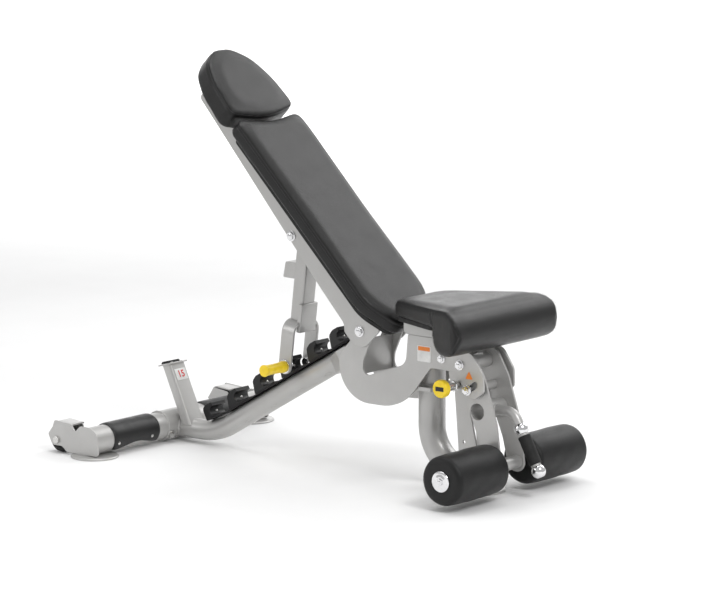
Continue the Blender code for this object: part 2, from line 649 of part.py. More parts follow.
def foot_pin(word, side):
    """Half of the foot bar: it stops beside the hooks, carries the leg, a washer and the grip."""
    ends = [
        (0.0, 0.128), (0.0095, 0.128), (0.0095, 0.0545), (0.018, 0.0545), (0.018, 0.0514), (BAR_R, 0.0514),
        (BAR_R, 0.0290), (0.0, 0.0290),
    ]
    sleeve = [
        (0.0, 0.136), (0.0130, 0.136), (0.0155, 0.133), (0.0148, 0.0548), (0.0098, 0.0548), (0.0098, 0.1285),
        (0.0, 0.1285),
    ]
    for name, profile, look in ((f"foot_bar_{word}", ends, CHROME), (f"foot_grip_{word}", sleeve, YELLOW)):
        if side < 0:
            profile = [(radius, -along) for radius, along in reversed(profile)]
        turned(name, profile, (0.0, -STRUT_LONG), look, strut_axis, sides=20)


# Leg hold-down: plates, cross tubes, handle and rollers, drawn from the leg pivot

def leg():
    outline = rounded([
        (-0.030, 0.031, 0.028), (0.030, 0.031, 0.028), (0.066, -0.030, 0.050), (0.103, -0.140, 0.100),
        (0.121, -0.272, 0.024), (0.071, -0.272, 0.024), (0.050, -0.190, 0.100), (0.004, -0.080, 0.060),
        (-0.030, -0.030, 0.020),
    ])
    holes = [circle((0.0, 0.0), BOLT_HOLE), circle(STOP_AT, BOLT_HOLE), circle(RECEIVER_AT, 0.0205),
             circle(AXLE_AT, 0.0085)]
    for word, side in sides():
        slab(f"leg_plate_{word}", outline, *between(side, LEG_IN, LEG_OUT), PAINT, leg_axis, holes=holes)
    half = LEG_IN - GAP
    ring("pivot_tube", 0.019, BOLT_HOLE, half, (0.0, 0.0), PAINT, leg_axis)
    ring("stop_tube", 0.0115, BOLT_HOLE, half, STOP_AT, PAINT, leg_axis, 20)
    ring("axle_tube", 0.0165, 0.0085, half, AXLE_AT, PAINT, leg_axis)
    through_bolt("leg_stop_bolt", STOP_AT, YOKE_OUT + GAP, CHROME, leg_axis)
    handle()
    rollers()


def handle():
    """Receiver tube with the carry handle welded on, chrome ends and a grip between them."""
    half = LEG_IN - GAP
    receiver = rod("receiver_handle", 0.024, -half, half, RECEIVER_AT, PAINT, leg_axis, sides=32)
    end = (HANDLE_BEND[0] - (HANDLE_LONG - 0.01) * math.sin(HANDLE_TILT),
           HANDLE_BEND[1] - (HANDLE_LONG - 0.01) * math.cos(HANDLE_TILT))
    arm = to_mesh(tube("handle_arm", [(0.050, -0.1125), HANDLE_BEND, end], HANDLE_R, PAINT, leg_axis, bend=0.036,
                       resolution=4))
    boolean(receiver, arm, "UNION")
    bore = rod("receiver_bore", 0.0205, -2 * half, 2 * half, RECEIVER_AT, PAINT, leg_axis, sides=32)
    boolean(receiver, bore, "DIFFERENCE")
    ball = HANDLE_LONG - FERRULE_R
    for number, low in enumerate((0.046, ball)):
        profile = [(FERRULE_R * math.cos(math.radians(a)), -low + FERRULE_R * math.sin(math.radians(a)))
                   for a in (60, 40, 20, 0, -20, -40, -60)]
        profile = [(0.0, profile[0][1])] + profile + [(0.0, profile[-1][1])]
        knuckle = turned(f"ferrule_{number}", profile, (0.0, 0.0), CHROME, handle_axis, False, 20)
        boolean(receiver, knuckle, "UNION")
    grip = [(0.0160, -0.0640), (0.0160, -0.1400), (HANDLE_R + GAP, -0.1400), (HANDLE_R + GAP, -0.0640)]
    turned("handle_grip", grip, (0.0, 0.0), RUBBER, handle_axis, False, 20)


def rollers():
    """Axle with spacers, washers and end nuts, and a foam roller on each side."""
    half = [
        (0.0, 0.2720), (0.0095, 0.2720), (0.0095, 0.2655), (0.0260, 0.2655), (0.0260, ROLLER_OUT + GAP),
        (0.0080, ROLLER_OUT + GAP), (0.0080, ROLLER_IN - GAP), (0.0140, ROLLER_IN - GAP),
        (0.0140, LEG_OUT + GAP), (0.0080, LEG_OUT + GAP),
    ]
    turned("roller_axle", half + [(radius, -along) for radius, along in reversed(half)], AXLE_AT, CHROME, leg_axis)
    soft = 0.012
    for word, side in sides():
        low, high = between(side, ROLLER_IN, ROLLER_OUT)
        profile = [(0.0084, high), (ROLLER_R - soft, high), (ROLLER_R - soft * 0.3, high - soft * 0.3),
                   (ROLLER_R, high - soft), (ROLLER_R, low + soft), (ROLLER_R - soft * 0.3, low + soft * 0.3),
                   (ROLLER_R - soft, low), (0.0084, low)]
        turned(f"foam_roller_{word}", profile, AXLE_AT, FOAM, leg_axis, sides=32)


rear_end()
spine()
rear_post()
yoke()
front_post()
pop_pin()
seat()
back()
strut()
leg()
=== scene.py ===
"""Adjustable weight bench: finishes, pads and fittings round the packed frame.

Side-plane coordinates are metres from the rear cross tube's axis (x, towards the seat) and from the floor (z).
A place (x, z, angle) holds pieces that are drawn about an axis of their own, and shifts everything to the row frame.
"""
import math

import bmesh
import bpy
import numpy as np
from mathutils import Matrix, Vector
from mathutils.bvhtree import BVHTree


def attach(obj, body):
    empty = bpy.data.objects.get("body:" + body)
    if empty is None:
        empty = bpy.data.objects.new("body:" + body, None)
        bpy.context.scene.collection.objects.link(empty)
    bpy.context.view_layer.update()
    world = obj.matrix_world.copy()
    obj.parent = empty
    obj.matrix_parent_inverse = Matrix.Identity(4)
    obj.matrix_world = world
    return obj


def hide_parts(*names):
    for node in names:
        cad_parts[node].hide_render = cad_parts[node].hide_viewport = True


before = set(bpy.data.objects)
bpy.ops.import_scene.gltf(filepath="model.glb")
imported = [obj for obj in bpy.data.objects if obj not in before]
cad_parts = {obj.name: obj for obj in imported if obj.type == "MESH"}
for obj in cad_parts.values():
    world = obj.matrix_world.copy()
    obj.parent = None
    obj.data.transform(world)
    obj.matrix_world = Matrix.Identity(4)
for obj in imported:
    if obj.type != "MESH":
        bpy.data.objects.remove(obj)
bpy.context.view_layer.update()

bl_info = {
    "name": "Adjustable weight bench",
    "version": (1, 0, 0),
    "blender": (4, 5, 0),
    "location": "View3D > Sidebar > Bench",
    "description": "Builds the visible pieces of an adjustable weight bench round its packed frame",
    "category": "Add Mesh",
}

# The bench's own measures, metres
ORIGIN_X = 0.53655
GAP = 0.0003
REAR_TUBE = (0.0, 0.0423)
COLLAR_RADIUS = 0.0385
SPINE_RADIUS = 0.027
POST_RADIUS = 0.034
WHEEL_AXLE = (-0.107, 0.035)
SPINE_BEND = (0.1524, 0.036)
SPINE_RUN = 0.590
HOOK_PLACES = (0.0335, 0.1360, 0.2385, 0.3435, 0.4485, 0.5350)
SEATED_HOOK_X = 0.3435
HOOK_HEIGHT = 0.0483
BACK_PIVOT = (0.690, 0.373)
STRUT_X = -0.3132
STRUT_Z = -0.002
BOARD_LOW = 0.0528
LEG_PIVOT = (1.001, 0.323)
STOP_AT = (0.023, -0.060)
RECEIVER_AT = (0.043, -0.114)
AXLE_AT = (0.096, -0.246)
HANDLE_BEND = (0.118, -0.112)
HANDLE_LONG = 0.176
PIN_AT = (0.993, 0.272)
SPACER_AT = (0.945, 0.332)
POST_TUBE_X = 0.8645
FOOT_HIGH = 0.006
SEAT_REAR = 0.8150
SEAT_FRONT = 1.1035
LEG_SWING = 25.0
FLOOR = (0.0, 0.0, 0.0)
SPINE = (SPINE_BEND[0], SPINE_BEND[1], -30.0)
LOW_HOOK = (0.1809, 0.0536, -24.24)
BACK = (BACK_PIVOT[0], BACK_PIVOT[1], 45.0)
LEG = (LEG_PIVOT[0], LEG_PIVOT[1], 0.0)
HANDLE = (LEG_PIVOT[0] + HANDLE_BEND[0], LEG_PIVOT[1] + HANDLE_BEND[1], -29.0)
CAP = (-0.0055, 0.2005, -15.0)

# Faces of the paired plates, from the middle outwards, and the bolts through them
YOKE_FACES = (0.059, 0.065)
RAIL_FACES = (0.066, 0.072)
LEG_FACES = (0.044, 0.050)
INSIDE_YOKE = YOKE_FACES[0] - GAP
INSIDE_RAILS = RAIL_FACES[0] - GAP
INSIDE_LEG = LEG_FACES[0] - GAP
BOLT_HOLE = 0.0081
BOLT_SHANK = 0.0077

# Camera: angles in degrees, distance and target in metres
CAMERA_TURN = math.radians(39.25)
CAMERA_LIFT = math.radians(9.45)
CAMERA_DISTANCE = 9.2945
CAMERA_TARGET = (0.6325 - ORIGIN_X, 0.0, 0.4498)
CAMERA_LENS = 184.45


def at(place, x, z):
    """Side-plane point of a place's own (x, z): turned by its angle about +Y, then moved to its origin."""
    a = math.radians(place[2])
    return place[0] + x * math.cos(a) + z * math.sin(a), place[1] - x * math.sin(a) + z * math.cos(a)


def strut_place():
    """The strut hangs from its pivot on the back to the cup of the seated hook."""
    top = at(BACK, STRUT_X, STRUT_Z)
    bottom = at(SPINE, SEATED_HOOK_X, HOOK_HEIGHT)
    drop = (bottom[0] - top[0], bottom[1] - top[1])
    return (*top, math.degrees(math.atan2(-drop[0], -drop[1]))), math.hypot(*drop)


STRUT, STRUT_LONG = strut_place()

# Looks: a finish and the material slot that it belongs to
PAINT = ("powder_coat", "silver_powder_coat")
VINYL = ("vinyl", "black_vinyl")
FOAM = ("foam_skin", "black_foam")
PLASTIC = ("moulded_black", "black_plastic")
RUBBER = ("rubber_black", "black_rubber")
BOARD = ("board_black", "black_board")
YELLOW = ("grip_yellow", "yellow_plastic")
CHROME = ("polished", "chrome")
ZINC = ("zinc", "chrome")
THREAD = ("thread", "black_vinyl")
TAG = ("tag_white", "silver_powder_coat")
RED = ("tag_red", "yellow_plastic")
ORANGE = ("tag_orange", "yellow_plastic")


# Sizes and colours a user may change

class BenchSizes(bpy.types.PropertyGroup):
    """Sizes of the soft pieces and of the edges."""

    plate_edge: bpy.props.FloatProperty(
        name="Plate edge", description="Rounding of the steel plates' edges", default=0.0009, unit="LENGTH")
    voxel: bpy.props.FloatProperty(
        name="Pad voxel", description="Cell of the pads' remesh before they swell", default=0.005, unit="LENGTH")
    swell: bpy.props.FloatProperty(
        name="Pad swell", description="Furthest that filling pushes a pad's cover out", default=0.0075, unit="LENGTH")
    seam_depth: bpy.props.FloatProperty(
        name="Seam depth", description="How far a seam pulls the cover in", default=0.0019, unit="LENGTH")
    stitch_step: bpy.props.FloatProperty(
        name="Stitch step", description="Distance from one stitch to the next", default=0.0055, unit="LENGTH")
    roller_radius: bpy.props.FloatProperty(
        name="Roller radius", description="Radius of the foam rollers", default=0.063, unit="LENGTH")


class BenchColours(bpy.types.PropertyGroup):
    """Main colours of the bench."""

    paint: bpy.props.FloatVectorProperty(
        name="Powder coat", description="Colour of the painted steel", subtype="COLOR", default=(0.50, 0.495, 0.485))
    vinyl: bpy.props.FloatVectorProperty(
        name="Vinyl", description="Colour of the pad covers", subtype="COLOR", default=(0.0050, 0.0048, 0.0049))
    foam: bpy.props.FloatVectorProperty(
        name="Foam", description="Colour of the roller skins", subtype="COLOR", default=(0.0045, 0.0045, 0.0047))
    yellow: bpy.props.FloatVectorProperty(
        name="Grips", description="Colour of the knob and foot grips", subtype="COLOR", default=(0.93, 0.66, 0.02))


# Outlines and profiles

def fillet(corners, step=5.0):
    """Closed outline through corners (x, z, radius): each corner gives way to the arc that touches both its sides."""
    out = []
    for i, (x, z, radius) in enumerate(corners):
        here = np.array((x, z))
        back = np.array(corners[i - 1][:2]) - here
        ahead = np.array(corners[(i + 1) % len(corners)][:2]) - here
        back, ahead = back / np.linalg.norm(back), ahead / np.linalg.norm(ahead)
        half = math.acos(float(np.clip(back @ ahead, -1, 1))) / 2
        if radius == 0:
            out.append(here[None])
            continue
        middle = (back + ahead) / np.linalg.norm(back + ahead)
        centre = here + middle * radius / math.sin(half)
        start = here + back * radius / math.tan(half) - centre
        turn = math.copysign(math.pi - 2 * half, -(back[0] * ahead[1] - back[1] * ahead[0]))
        t = np.linspace(0, turn, max(2, round(abs(math.degrees(turn)) / step) + 1))
        cos_t, sin_t = np.cos(t), np.sin(t)
        out.append(centre + np.stack([cos_t * start[0] - sin_t * start[1], sin_t * start[0] + cos_t * start[1]], 1))
    return np.vstack(out)


def arc(centre, radius, start, end, step=4.0):
    """Points on a circle from one angle to another, in degrees from +x towards +z."""
    t = np.radians(np.linspace(start, end, max(3, round(abs(end - start) / step) + 1)))
    return np.stack([centre[0] + radius * np.cos(t), centre[1] + radius * np.sin(t)], 1)


def rectangle(x0, z0, x1, z1, radius):
    """An upright rectangle with round corners."""
    return fillet([(x0, z0, radius), (x1, z0, radius), (x1, z1, radius), (x0, z1, radius)])


def circle(centre, radius):
    """A whole circle, without its closing point."""
    return arc(centre, radius, 0, 360, 7.5)[:-1]


def arc_slot(centre, radius, half, start, end):
    """A slot along an arc, with a half circle at each end."""
    first, last = arc(centre, radius, start, end)[[0, -1]]
    return np.vstack([
        arc(centre, radius + half, start, end), arc(last, half, end, end + 180, 15)[1:-1],
        arc(centre, radius - half, end, start), arc(first, half, start + 180, start + 360, 15)[1:-1],
    ])


def soften(points, radius, closed=False, steps=4):
    """Rounds a polyline: each corner becomes a parabola between points on its two sides, radius or 0.45 side away."""
    p = np.asarray(points, float)
    before, after = np.roll(p, 1, 0), np.roll(p, -1, 0)
    to_before, to_after = before - p, after - p
    long_b, long_a = np.linalg.norm(to_before, axis=1), np.linalg.norm(to_after, axis=1)
    reach_b = np.minimum(radius, 0.45 * long_b) / np.maximum(long_b, 1e-9)
    reach_a = np.minimum(radius, 0.45 * long_a) / np.maximum(long_a, 1e-9)
    if not closed:
        reach_b[[0, -1]] = reach_a[[0, -1]] = 0
    a, c = p + to_before * reach_b[:, None], p + to_after * reach_a[:, None]
    t = np.linspace(0, 1, steps)[None, :, None]
    curve = (1 - t) ** 2 * a[:, None] + 2 * t * (1 - t) * p[:, None] + t**2 * c[:, None]
    return curve.reshape(-1, p.shape[1])


def mirrored(half):
    """Corners from one end to the other for y > 0, and their mirror images back."""
    return half + [(x, -y, radius) for x, y, radius in reversed(half) if y > 1e-6]


def bent(corners, bend, spacing=6.0):
    """Route through corners (x, z) with every inner corner turned on one bend radius."""
    full = [(corners[0][0], corners[0][1], 0)] + [(x, z, bend) for x, z in corners[1:-1]]
    return fillet(full + [(corners[-1][0], corners[-1][1], 0)], spacing)


def unit(vectors):
    """Vectors brought to length 1, row by row."""
    return vectors / np.maximum(np.linalg.norm(vectors, axis=1), 1e-9)[:, None]


def full_turn(count):
    """Evenly spaced angles of a whole turn, without the closing one."""
    return np.linspace(0, 2 * np.pi, count, endpoint=False)


def travel(line):
    """Distance along a line at each of its points."""
    return np.concatenate([[0], np.cumsum(np.linalg.norm(np.diff(line, axis=0), axis=1))])


def sampled(line, wanted, values=None):
    """A line's points, or other values at them, at the wanted distances along it."""
    values = line if values is None else values
    travelled = travel(line)
    return np.stack([np.interp(wanted, travelled, values[:, i]) for i in range(values.shape[1])], 1)


def divided(route, first, last):
    """A route with its straight first and last runs divided evenly."""
    return np.vstack([np.linspace(route[0], route[1], first)[:-1], route[1:-1],
                      np.linspace(route[-2], route[-1], last)[1:]])


def capped(grid):
    """A grid whose first and last rows close onto their own middles."""
    ends = [np.repeat(grid[i].mean(0)[None], grid.shape[1], 0)[None] for i in (0, -1)]
    return np.concatenate([ends[0], grid, ends[1]])


# Meshes

def joined(parts):
    """Points and quads of several grids (points, wrap rows, wrap columns)."""
    points, faces, start = [], [], 0
    for grid, wrap_rows, wrap_columns in parts:
        index = start + np.arange(grid.shape[0] * grid.shape[1]).reshape(grid.shape[:2])
        if wrap_rows:
            index = np.vstack([index, index[:1]])
        if wrap_columns:
            index = np.hstack([index, index[:, :1]])
        faces.append(np.stack([index[:-1, :-1], index[1:, :-1], index[1:, 1:], index[:-1, 1:]], -1).reshape(-1, 4))
        points.append(grid.reshape(-1, 3))
        start += grid.shape[0] * grid.shape[1]
    return np.vstack(points), np.vstack(faces)


def piece(name, parts, place=FLOOR, look=PAINT, body="frame", nodes=(), sharp=35.0):
    """Joins grids into one piece, closes its seams and poles, and turns it outwards."""
    points, faces = joined(parts)
    mesh = bpy.data.meshes.new(name)
    mesh.from_pydata(in_row(points, place).tolist(), [], faces.tolist())
    return finished(name, mesh, look, body, nodes, sharp)


def in_row(points, place):
    """Turns points by the place's angle about +Y, and moves them to its origin in the row frame."""
    a = math.radians(place[2])
    x, y, z = points[:, 0], points[:, 1], points[:, 2]
    return np.stack([
        place[0] - ORIGIN_X + x * math.cos(a) + z * math.sin(a), y, place[1] - x * math.sin(a) + z * math.cos(a),
    ], 1)


def finished(name, mesh, look, body, nodes=(), sharp=35.0):
    """Merges doubles, points the faces outwards, smooths up to an angle, and hands the piece to its body."""
    work = bmesh.new()
    work.from_mesh(mesh)
    bmesh.ops.remove_doubles(work, verts=work.verts, dist=2e-6)
    bmesh.ops.dissolve_degenerate(work, edges=work.edges, dist=1e-7)
    bmesh.ops.recalc_face_normals(work, faces=work.faces)
    work.to_mesh(mesh)
    work.free()
    mesh.shade_smooth()
    mesh.set_sharp_from_angle(angle=math.radians(sharp))
    made = bpy.data.objects.new(name, mesh)
    bpy.context.scene.collection.objects.link(made)
    finish_name, slot = look
    mesh.materials.append(bpy.data.materials[finish_name])
    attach(made, body)
    if nodes:
        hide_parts(*nodes)
    return made


def coordinates(mesh, kind="co"):
    """A mesh's points, or its normals, as an array."""
    flat = np.zeros(len(mesh.vertices) * 3)
    mesh.vertices.foreach_get(kind, flat)
    return flat.reshape(-1, 3)


def meshed(name, curve):
    """The mesh that a curve or a text gives."""
    source = bpy.data.objects.new(name + "_outline", curve)
    bpy.context.scene.collection.objects.link(source)
    mesh = evaluated(source)
    bpy.data.objects.remove(source)
    return mesh


def about(axis, u, v, along, centre, offset):
    """Grid of a shape round an axis, from its two coordinates across the axis and the one along it."""
    order = {"Y": (u + centre[0], along, v + centre[1]), "Z": (u + centre[0], v + offset, along + centre[1]),
             "X": (along + centre[0], v + offset, u + centre[1])}
    return np.stack(order[axis], -1)


def turned(profile, centre=(0.0, 0.0), axis="Y", sides=64, soft=0.0008, offset=0.0, closed=False):
    """Grid of a turned shape: profile (radius, along) carried round the axis by angle."""
    p = soften(profile, soft, closed) if soft else np.asarray(profile, float)
    t = full_turn(sides)[:, None]
    r, along = p[None, :, 0], p[None, :, 1] + 0 * t
    return about(axis, r * np.cos(t), r * np.sin(t), along, centre, offset), True, closed


def hexagon(radius, low, high, centre, axis="Y", chamfer=0.0012, offset=0.0):
    """Grid of a hexagon head: radius r / cos(angle to the nearest flat), drawn in at both ends by the chamfer."""
    t = full_turn(48)[:, None]
    flat = radius * math.cos(math.pi / 6) / np.cos((t + np.pi / 6) % (np.pi / 3) - np.pi / 6)
    rings = np.array([(0, low), (0.93, low), (1, low + chamfer), (1, high - chamfer), (0.93, high), (0, high)])
    r, along = rings[None, :, 0] * flat, rings[None, :, 1] + 0 * t
    return about(axis, r * np.cos(t), r * np.sin(t), along, centre, offset), True, False


def swept(route, section):
    """Grid of a section (across, out) carried along a side-plane route: out follows the route's normal.

    The normal at each point is its tangent turned a quarter, and each end closes onto the route.
    """
    route = np.asarray(route, float)
    tangent = unit(np.gradient(route, axis=0))
    normal = np.stack([-tangent[:, 1], tangent[:, 0]], 1)
    xz = route[:, None] + section[:, 1:2] * normal[:, None]
    y = np.broadcast_to(section[:, 0], xz.shape[:2])
    return capped(np.stack([xz[..., 0], y, xz[..., 1]], -1)), False, True


def ring_section(radius):
    """A circle (across, out) for a round tube."""
    return arc((0, 0), radius, 0, 360, 360 / 56)[:-1]


def bar_section(half_across, half_out, radius):
    """A rectangle (across, out) with round corners, for a flat bar or a box tube."""
    return fillet([(half_across, half_out, radius), (-half_across, half_out, radius),
                   (-half_across, -half_out, radius), (half_across, -half_out, radius)], 18)


def block(low, high, radius=0.0012):
    """Grid of a box with round edges: a soft rectangle carried from end to end along y, drawn in at both ends."""
    (x0, y0, z0), (x1, y1, z1) = low, high
    cx, cz, hx, hz = (x0 + x1) / 2, (z0 + z1) / 2, (x1 - x0) / 2, (z1 - z0) / 2
    turns = np.linspace(0, np.pi / 2, 4)
    inset = radius * (1 - np.sin(turns))
    y_low, y_high = y0 + radius * (1 - np.cos(turns)), y1 - radius * (1 - np.cos(turns[::-1]))
    rings = []
    for y, pull in [(y0, None), *zip(y_low, inset), *zip(y_high, inset[::-1]), (y1, None)]:
        outline = fillet([(hx, hz, radius), (-hx, hz, radius), (-hx, -hz, radius), (hx, -hz, radius)], 30)
        scale = np.array([0.0, 0.0]) if pull is None else np.array([(hx - pull) / hx, (hz - pull) / hz])
        ring = outline * scale + (cx, cz)
        rings.append(np.stack([ring[:, 0], np.full(len(ring), y), ring[:, 1]], 1))
    return np.stack(rings), False, True


def plate(name, rings, low, high, place=FLOOR, look=PAINT, body="frame", nodes=(), across=True, edge=None):
    """A flat outline with holes, given its thickness and round edges, across the width or upwards."""
    edge = bpy.context.scene.bench_sizes.plate_edge if edge is None else edge
    curve = bpy.data.curves.new(name, "CURVE")
    curve.dimensions, curve.fill_mode = "2D", "BOTH"
    curve.extrude, curve.bevel_depth, curve.offset = (high - low) / 2 - edge, edge, -edge
    curve.bevel_resolution = 1
    for ring in rings:
        spline = curve.splines.new("POLY")
        spline.points.add(len(ring) - 1)
        spline.points.foreach_set("co", np.hstack([ring, np.zeros((len(ring), 1)), np.ones((len(ring), 1))]).ravel())
        spline.use_cyclic_u = True
    mesh = meshed(name, curve)
    x, y, z = coordinates(mesh).T
    middle = (low + high) / 2
    solid = np.stack([x, middle - z, y] if across else [x, y, z + middle], 1)
    mesh.vertices.foreach_set("co", in_row(solid, place).ravel())
    made = finished(name, mesh, look, body, nodes, 50.0)
    normals = made.modifiers.new("even shading", "WEIGHTED_NORMAL")
    normals.keep_sharp = True
    return made


def sides():
    """The two sides of the bench, as (name, sign of y)."""
    return (("near", -1), ("far", 1))


def span(side, inner, outer):
    """The y range from inner to outer on one side."""
    return sorted((side * inner, side * outer))


def flipped(profile, side):
    """A profile (radius, along) for the far side, or its mirror for the near one."""
    p = np.asarray(profile, float)
    return p if side > 0 else np.stack([p[:, 0], -p[:, 1]], 1)[::-1]


def bolt_head(centre, side, face, radius, washer=0.0, high=0.007):
    """Grids of a washer, a hexagon head and the shank's domed end, standing on a plate's face."""
    parts = []
    if washer:
        parts.append(turned(flipped([(0, face), (washer, face), (washer, face + 0.002), (0, face + 0.002)], side),
                            centre, soft=0.0005))
        face += 0.0015
    parts.append(hexagon(radius, *span(side, face, face + high), centre))
    end = radius * 0.55
    parts.append(turned(flipped([(0, face + high - 0.001), (end, face + high - 0.001), (end, face + high + 0.001),
                                 (0, face + high + 0.0018)], side), centre, soft=0.0006, sides=32))
    return parts


def bolt_pair(centre, face, radius, washer, high):
    """Grids of a bolt's head and nut, standing on the outer faces of a pair of plates."""
    return [part for _, side in sides() for part in bolt_head(centre, side, face, radius, washer, high)]


def bolt_shank(centre, half):
    """Grid of a bolt's shank across the bench."""
    return turned([(0, half), (BOLT_SHANK, half), (BOLT_SHANK, -half), (0, -half)], centre, soft=0.0003)


def bead(points, radius, ripple=0.12):
    """Grid of a weld bead: a small circle carried round a closed line, its radius rising and falling along it."""
    p = np.asarray(points, float)
    tangent = unit(np.roll(p, -1, 0) - np.roll(p, 1, 0))
    out = p - p.mean(0)
    out = unit(out - tangent * np.sum(out * tangent, 1)[:, None])
    third = np.cross(tangent, out)
    t = full_turn(10)[None, :, None]
    travelled = np.arange(len(p))[:, None, None]
    r = radius * (1 + ripple * np.sin(travelled * 2 * np.pi / 4))
    return p[:, None] + r * (np.cos(t) * out[:, None] + np.sin(t) * third[:, None]), True, True


# Finishes

def node(tree, kind, inputs=(), **settings):
    """Adds a shader node, with its settings, and its inputs as values or links."""
    made = tree.nodes.new(kind)
    for key, value in settings.items():
        setattr(made, key, value)
    for key, value in dict(inputs).items():
        if isinstance(value, bpy.types.NodeSocket):
            tree.links.new(value, made.inputs[key])
        else:
            made.inputs[key].default_value = value
    return made


def effect(name, inputs, outputs):
    """A new shader node group with float inputs and outputs, and its two end nodes."""
    tree = bpy.data.node_groups.new(name, "ShaderNodeTree")
    for label, value in inputs:
        socket = tree.interface.new_socket(name=label, in_out="INPUT", socket_type="NodeSocketFloat")
        socket.default_value = value
    for label in outputs:
        tree.interface.new_socket(name=label, in_out="OUTPUT", socket_type="NodeSocketFloat")
    return tree, tree.nodes.new("NodeGroupInput"), tree.nodes.new("NodeGroupOutput")


def make_effects():
    """The shared effects: mottling, leather grain, sprayed-coat peel, and rubbed scratches."""
    tree, start, end = effect("mottle", [("Size", 30.0), ("Low", 0.35), ("High", 0.65)], ["Mask"])
    where = node(tree, "ShaderNodeTexCoord")
    noise = node(tree, "ShaderNodeTexNoise", {"Vector": where.outputs["Object"], "Scale": start.outputs["Size"],
                                              "Detail": 4.0, "Roughness": 0.6})
    ramp = node(tree, "ShaderNodeMapRange", {"Value": noise.outputs["Fac"], "From Min": start.outputs["Low"],
                                             "From Max": start.outputs["High"]})
    tree.links.new(ramp.outputs["Result"], end.inputs["Mask"])

    tree, start, end = effect("leather_grain", [("Cells", 750.0), ("Pores", 2600.0), ("Creases", 55.0)], ["Height"])
    where = node(tree, "ShaderNodeTexCoord")
    warp = node(tree, "ShaderNodeTexNoise", {"Vector": where.outputs["Object"], "Scale": 260.0, "Detail": 2.0})
    push = node(tree, "ShaderNodeVectorMath", {0: warp.outputs["Color"], 1: (0.0016, 0.0016, 0.0016)},
                operation="MULTIPLY")
    moved = node(tree, "ShaderNodeVectorMath", {0: where.outputs["Object"], 1: push.outputs[0]}, operation="ADD")
    cells = node(tree, "ShaderNodeTexVoronoi", {"Vector": moved.outputs[0], "Scale": start.outputs["Cells"]},
                 feature="DISTANCE_TO_EDGE")
    groove = node(tree, "ShaderNodeMapRange", {"Value": cells.outputs["Distance"], "From Max": 0.16},
                  interpolation_type="SMOOTHSTEP")
    pores = node(tree, "ShaderNodeTexNoise", {"Vector": moved.outputs[0], "Scale": start.outputs["Pores"]})
    folds = node(tree, "ShaderNodeTexNoise", {"Vector": where.outputs["Object"], "Scale": start.outputs["Creases"],
                                              "Detail": 3.0, "Distortion": 0.6})
    fine = node(tree, "ShaderNodeMath", {0: pores.outputs["Fac"], 1: 0.25, 2: groove.outputs["Result"]},
                operation="MULTIPLY_ADD")
    height = node(tree, "ShaderNodeMath", {0: folds.outputs["Fac"], 1: 2.2, 2: fine.outputs[0]},
                  operation="MULTIPLY_ADD")
    tree.links.new(height.outputs[0], end.inputs["Height"])

    tree, start, end = effect("sprayed_coat", [("Peel", 420.0), ("Flake", 2600.0)], ["Height", "Sparkle"])
    where = node(tree, "ShaderNodeTexCoord")
    peel = node(tree, "ShaderNodeTexNoise", {"Vector": where.outputs["Object"], "Scale": start.outputs["Peel"],
                                             "Detail": 2.0})
    flake = node(tree, "ShaderNodeTexVoronoi", {"Vector": where.outputs["Object"], "Scale": start.outputs["Flake"]})
    bright = node(tree, "ShaderNodeSeparateColor", {"Color": flake.outputs["Color"]})
    tree.links.new(peel.outputs["Fac"], end.inputs["Height"])
    tree.links.new(bright.outputs["Red"], end.inputs["Sparkle"])

    tree, start, end = effect("rubbed", [("Size", 90.0), ("Stretch", 9.0), ("Amount", 0.6)], ["Mask"])
    where = node(tree, "ShaderNodeTexCoord")
    long = node(tree, "ShaderNodeCombineXYZ", {"X": 1.0, "Y": start.outputs["Stretch"], "Z": 1.0})
    drawn = node(tree, "ShaderNodeVectorMath", {0: where.outputs["Object"], 1: long.outputs[0]}, operation="MULTIPLY")
    streak = node(tree, "ShaderNodeTexNoise", {"Vector": drawn.outputs[0], "Scale": start.outputs["Size"],
                                               "Detail": 6.0, "Roughness": 0.7})
    cut = node(tree, "ShaderNodeMapRange", {"Value": streak.outputs["Fac"], "From Min": start.outputs["Amount"],
                                            "From Max": 0.85})
    tree.links.new(cut.outputs["Result"], end.inputs["Mask"])


def use(tree, name, **values):
    """Places a shared effect in a material, with its own values."""
    made = node(tree, "ShaderNodeGroup", node_tree=bpy.data.node_groups[name])
    for key, value in values.items():
        made.inputs[key].default_value = value
    return made


def mixed(tree, mask, low, high):
    """A colour between two, by a mask."""
    return node(tree, "ShaderNodeMix", {0: mask, 6: (*low, 1.0), 7: (*high, 1.0)}, data_type="RGBA").outputs[2]


def ranged(tree, mask, low, high):
    """A value between two, by a mask."""
    return node(tree, "ShaderNodeMapRange", {"Value": mask, "To Min": low, "To Max": high}).outputs["Result"]


def finish(name, metallic=0.0, **constants):
    """A new material, its node tree and its shader, with the shader's own constants set."""
    made = bpy.data.materials.new(name)
    made.use_nodes = True
    shader = made.node_tree.nodes["Principled BSDF"]
    shader.inputs["Metallic"].default_value = metallic
    for key, value in constants.items():
        shader.inputs[key.replace("_", " ")].default_value = value
    return made.node_tree, shader


def dressed(tree, shader, colour, roughness, height=None, strength=0.2, distance=0.0003):
    """Links a colour, a roughness and a bump height to the shader."""
    tree.links.new(colour, shader.inputs["Base Color"])
    tree.links.new(roughness, shader.inputs["Roughness"])
    if height is not None:
        bump = node(tree, "ShaderNodeBump", {"Height": height, "Strength": strength, "Distance": distance})
        tree.links.new(bump.outputs["Normal"], shader.inputs["Normal"])


def shade(colour, factor):
    """A colour made lighter or darker."""
    return tuple(min(1.0, channel * factor) for channel in colour)


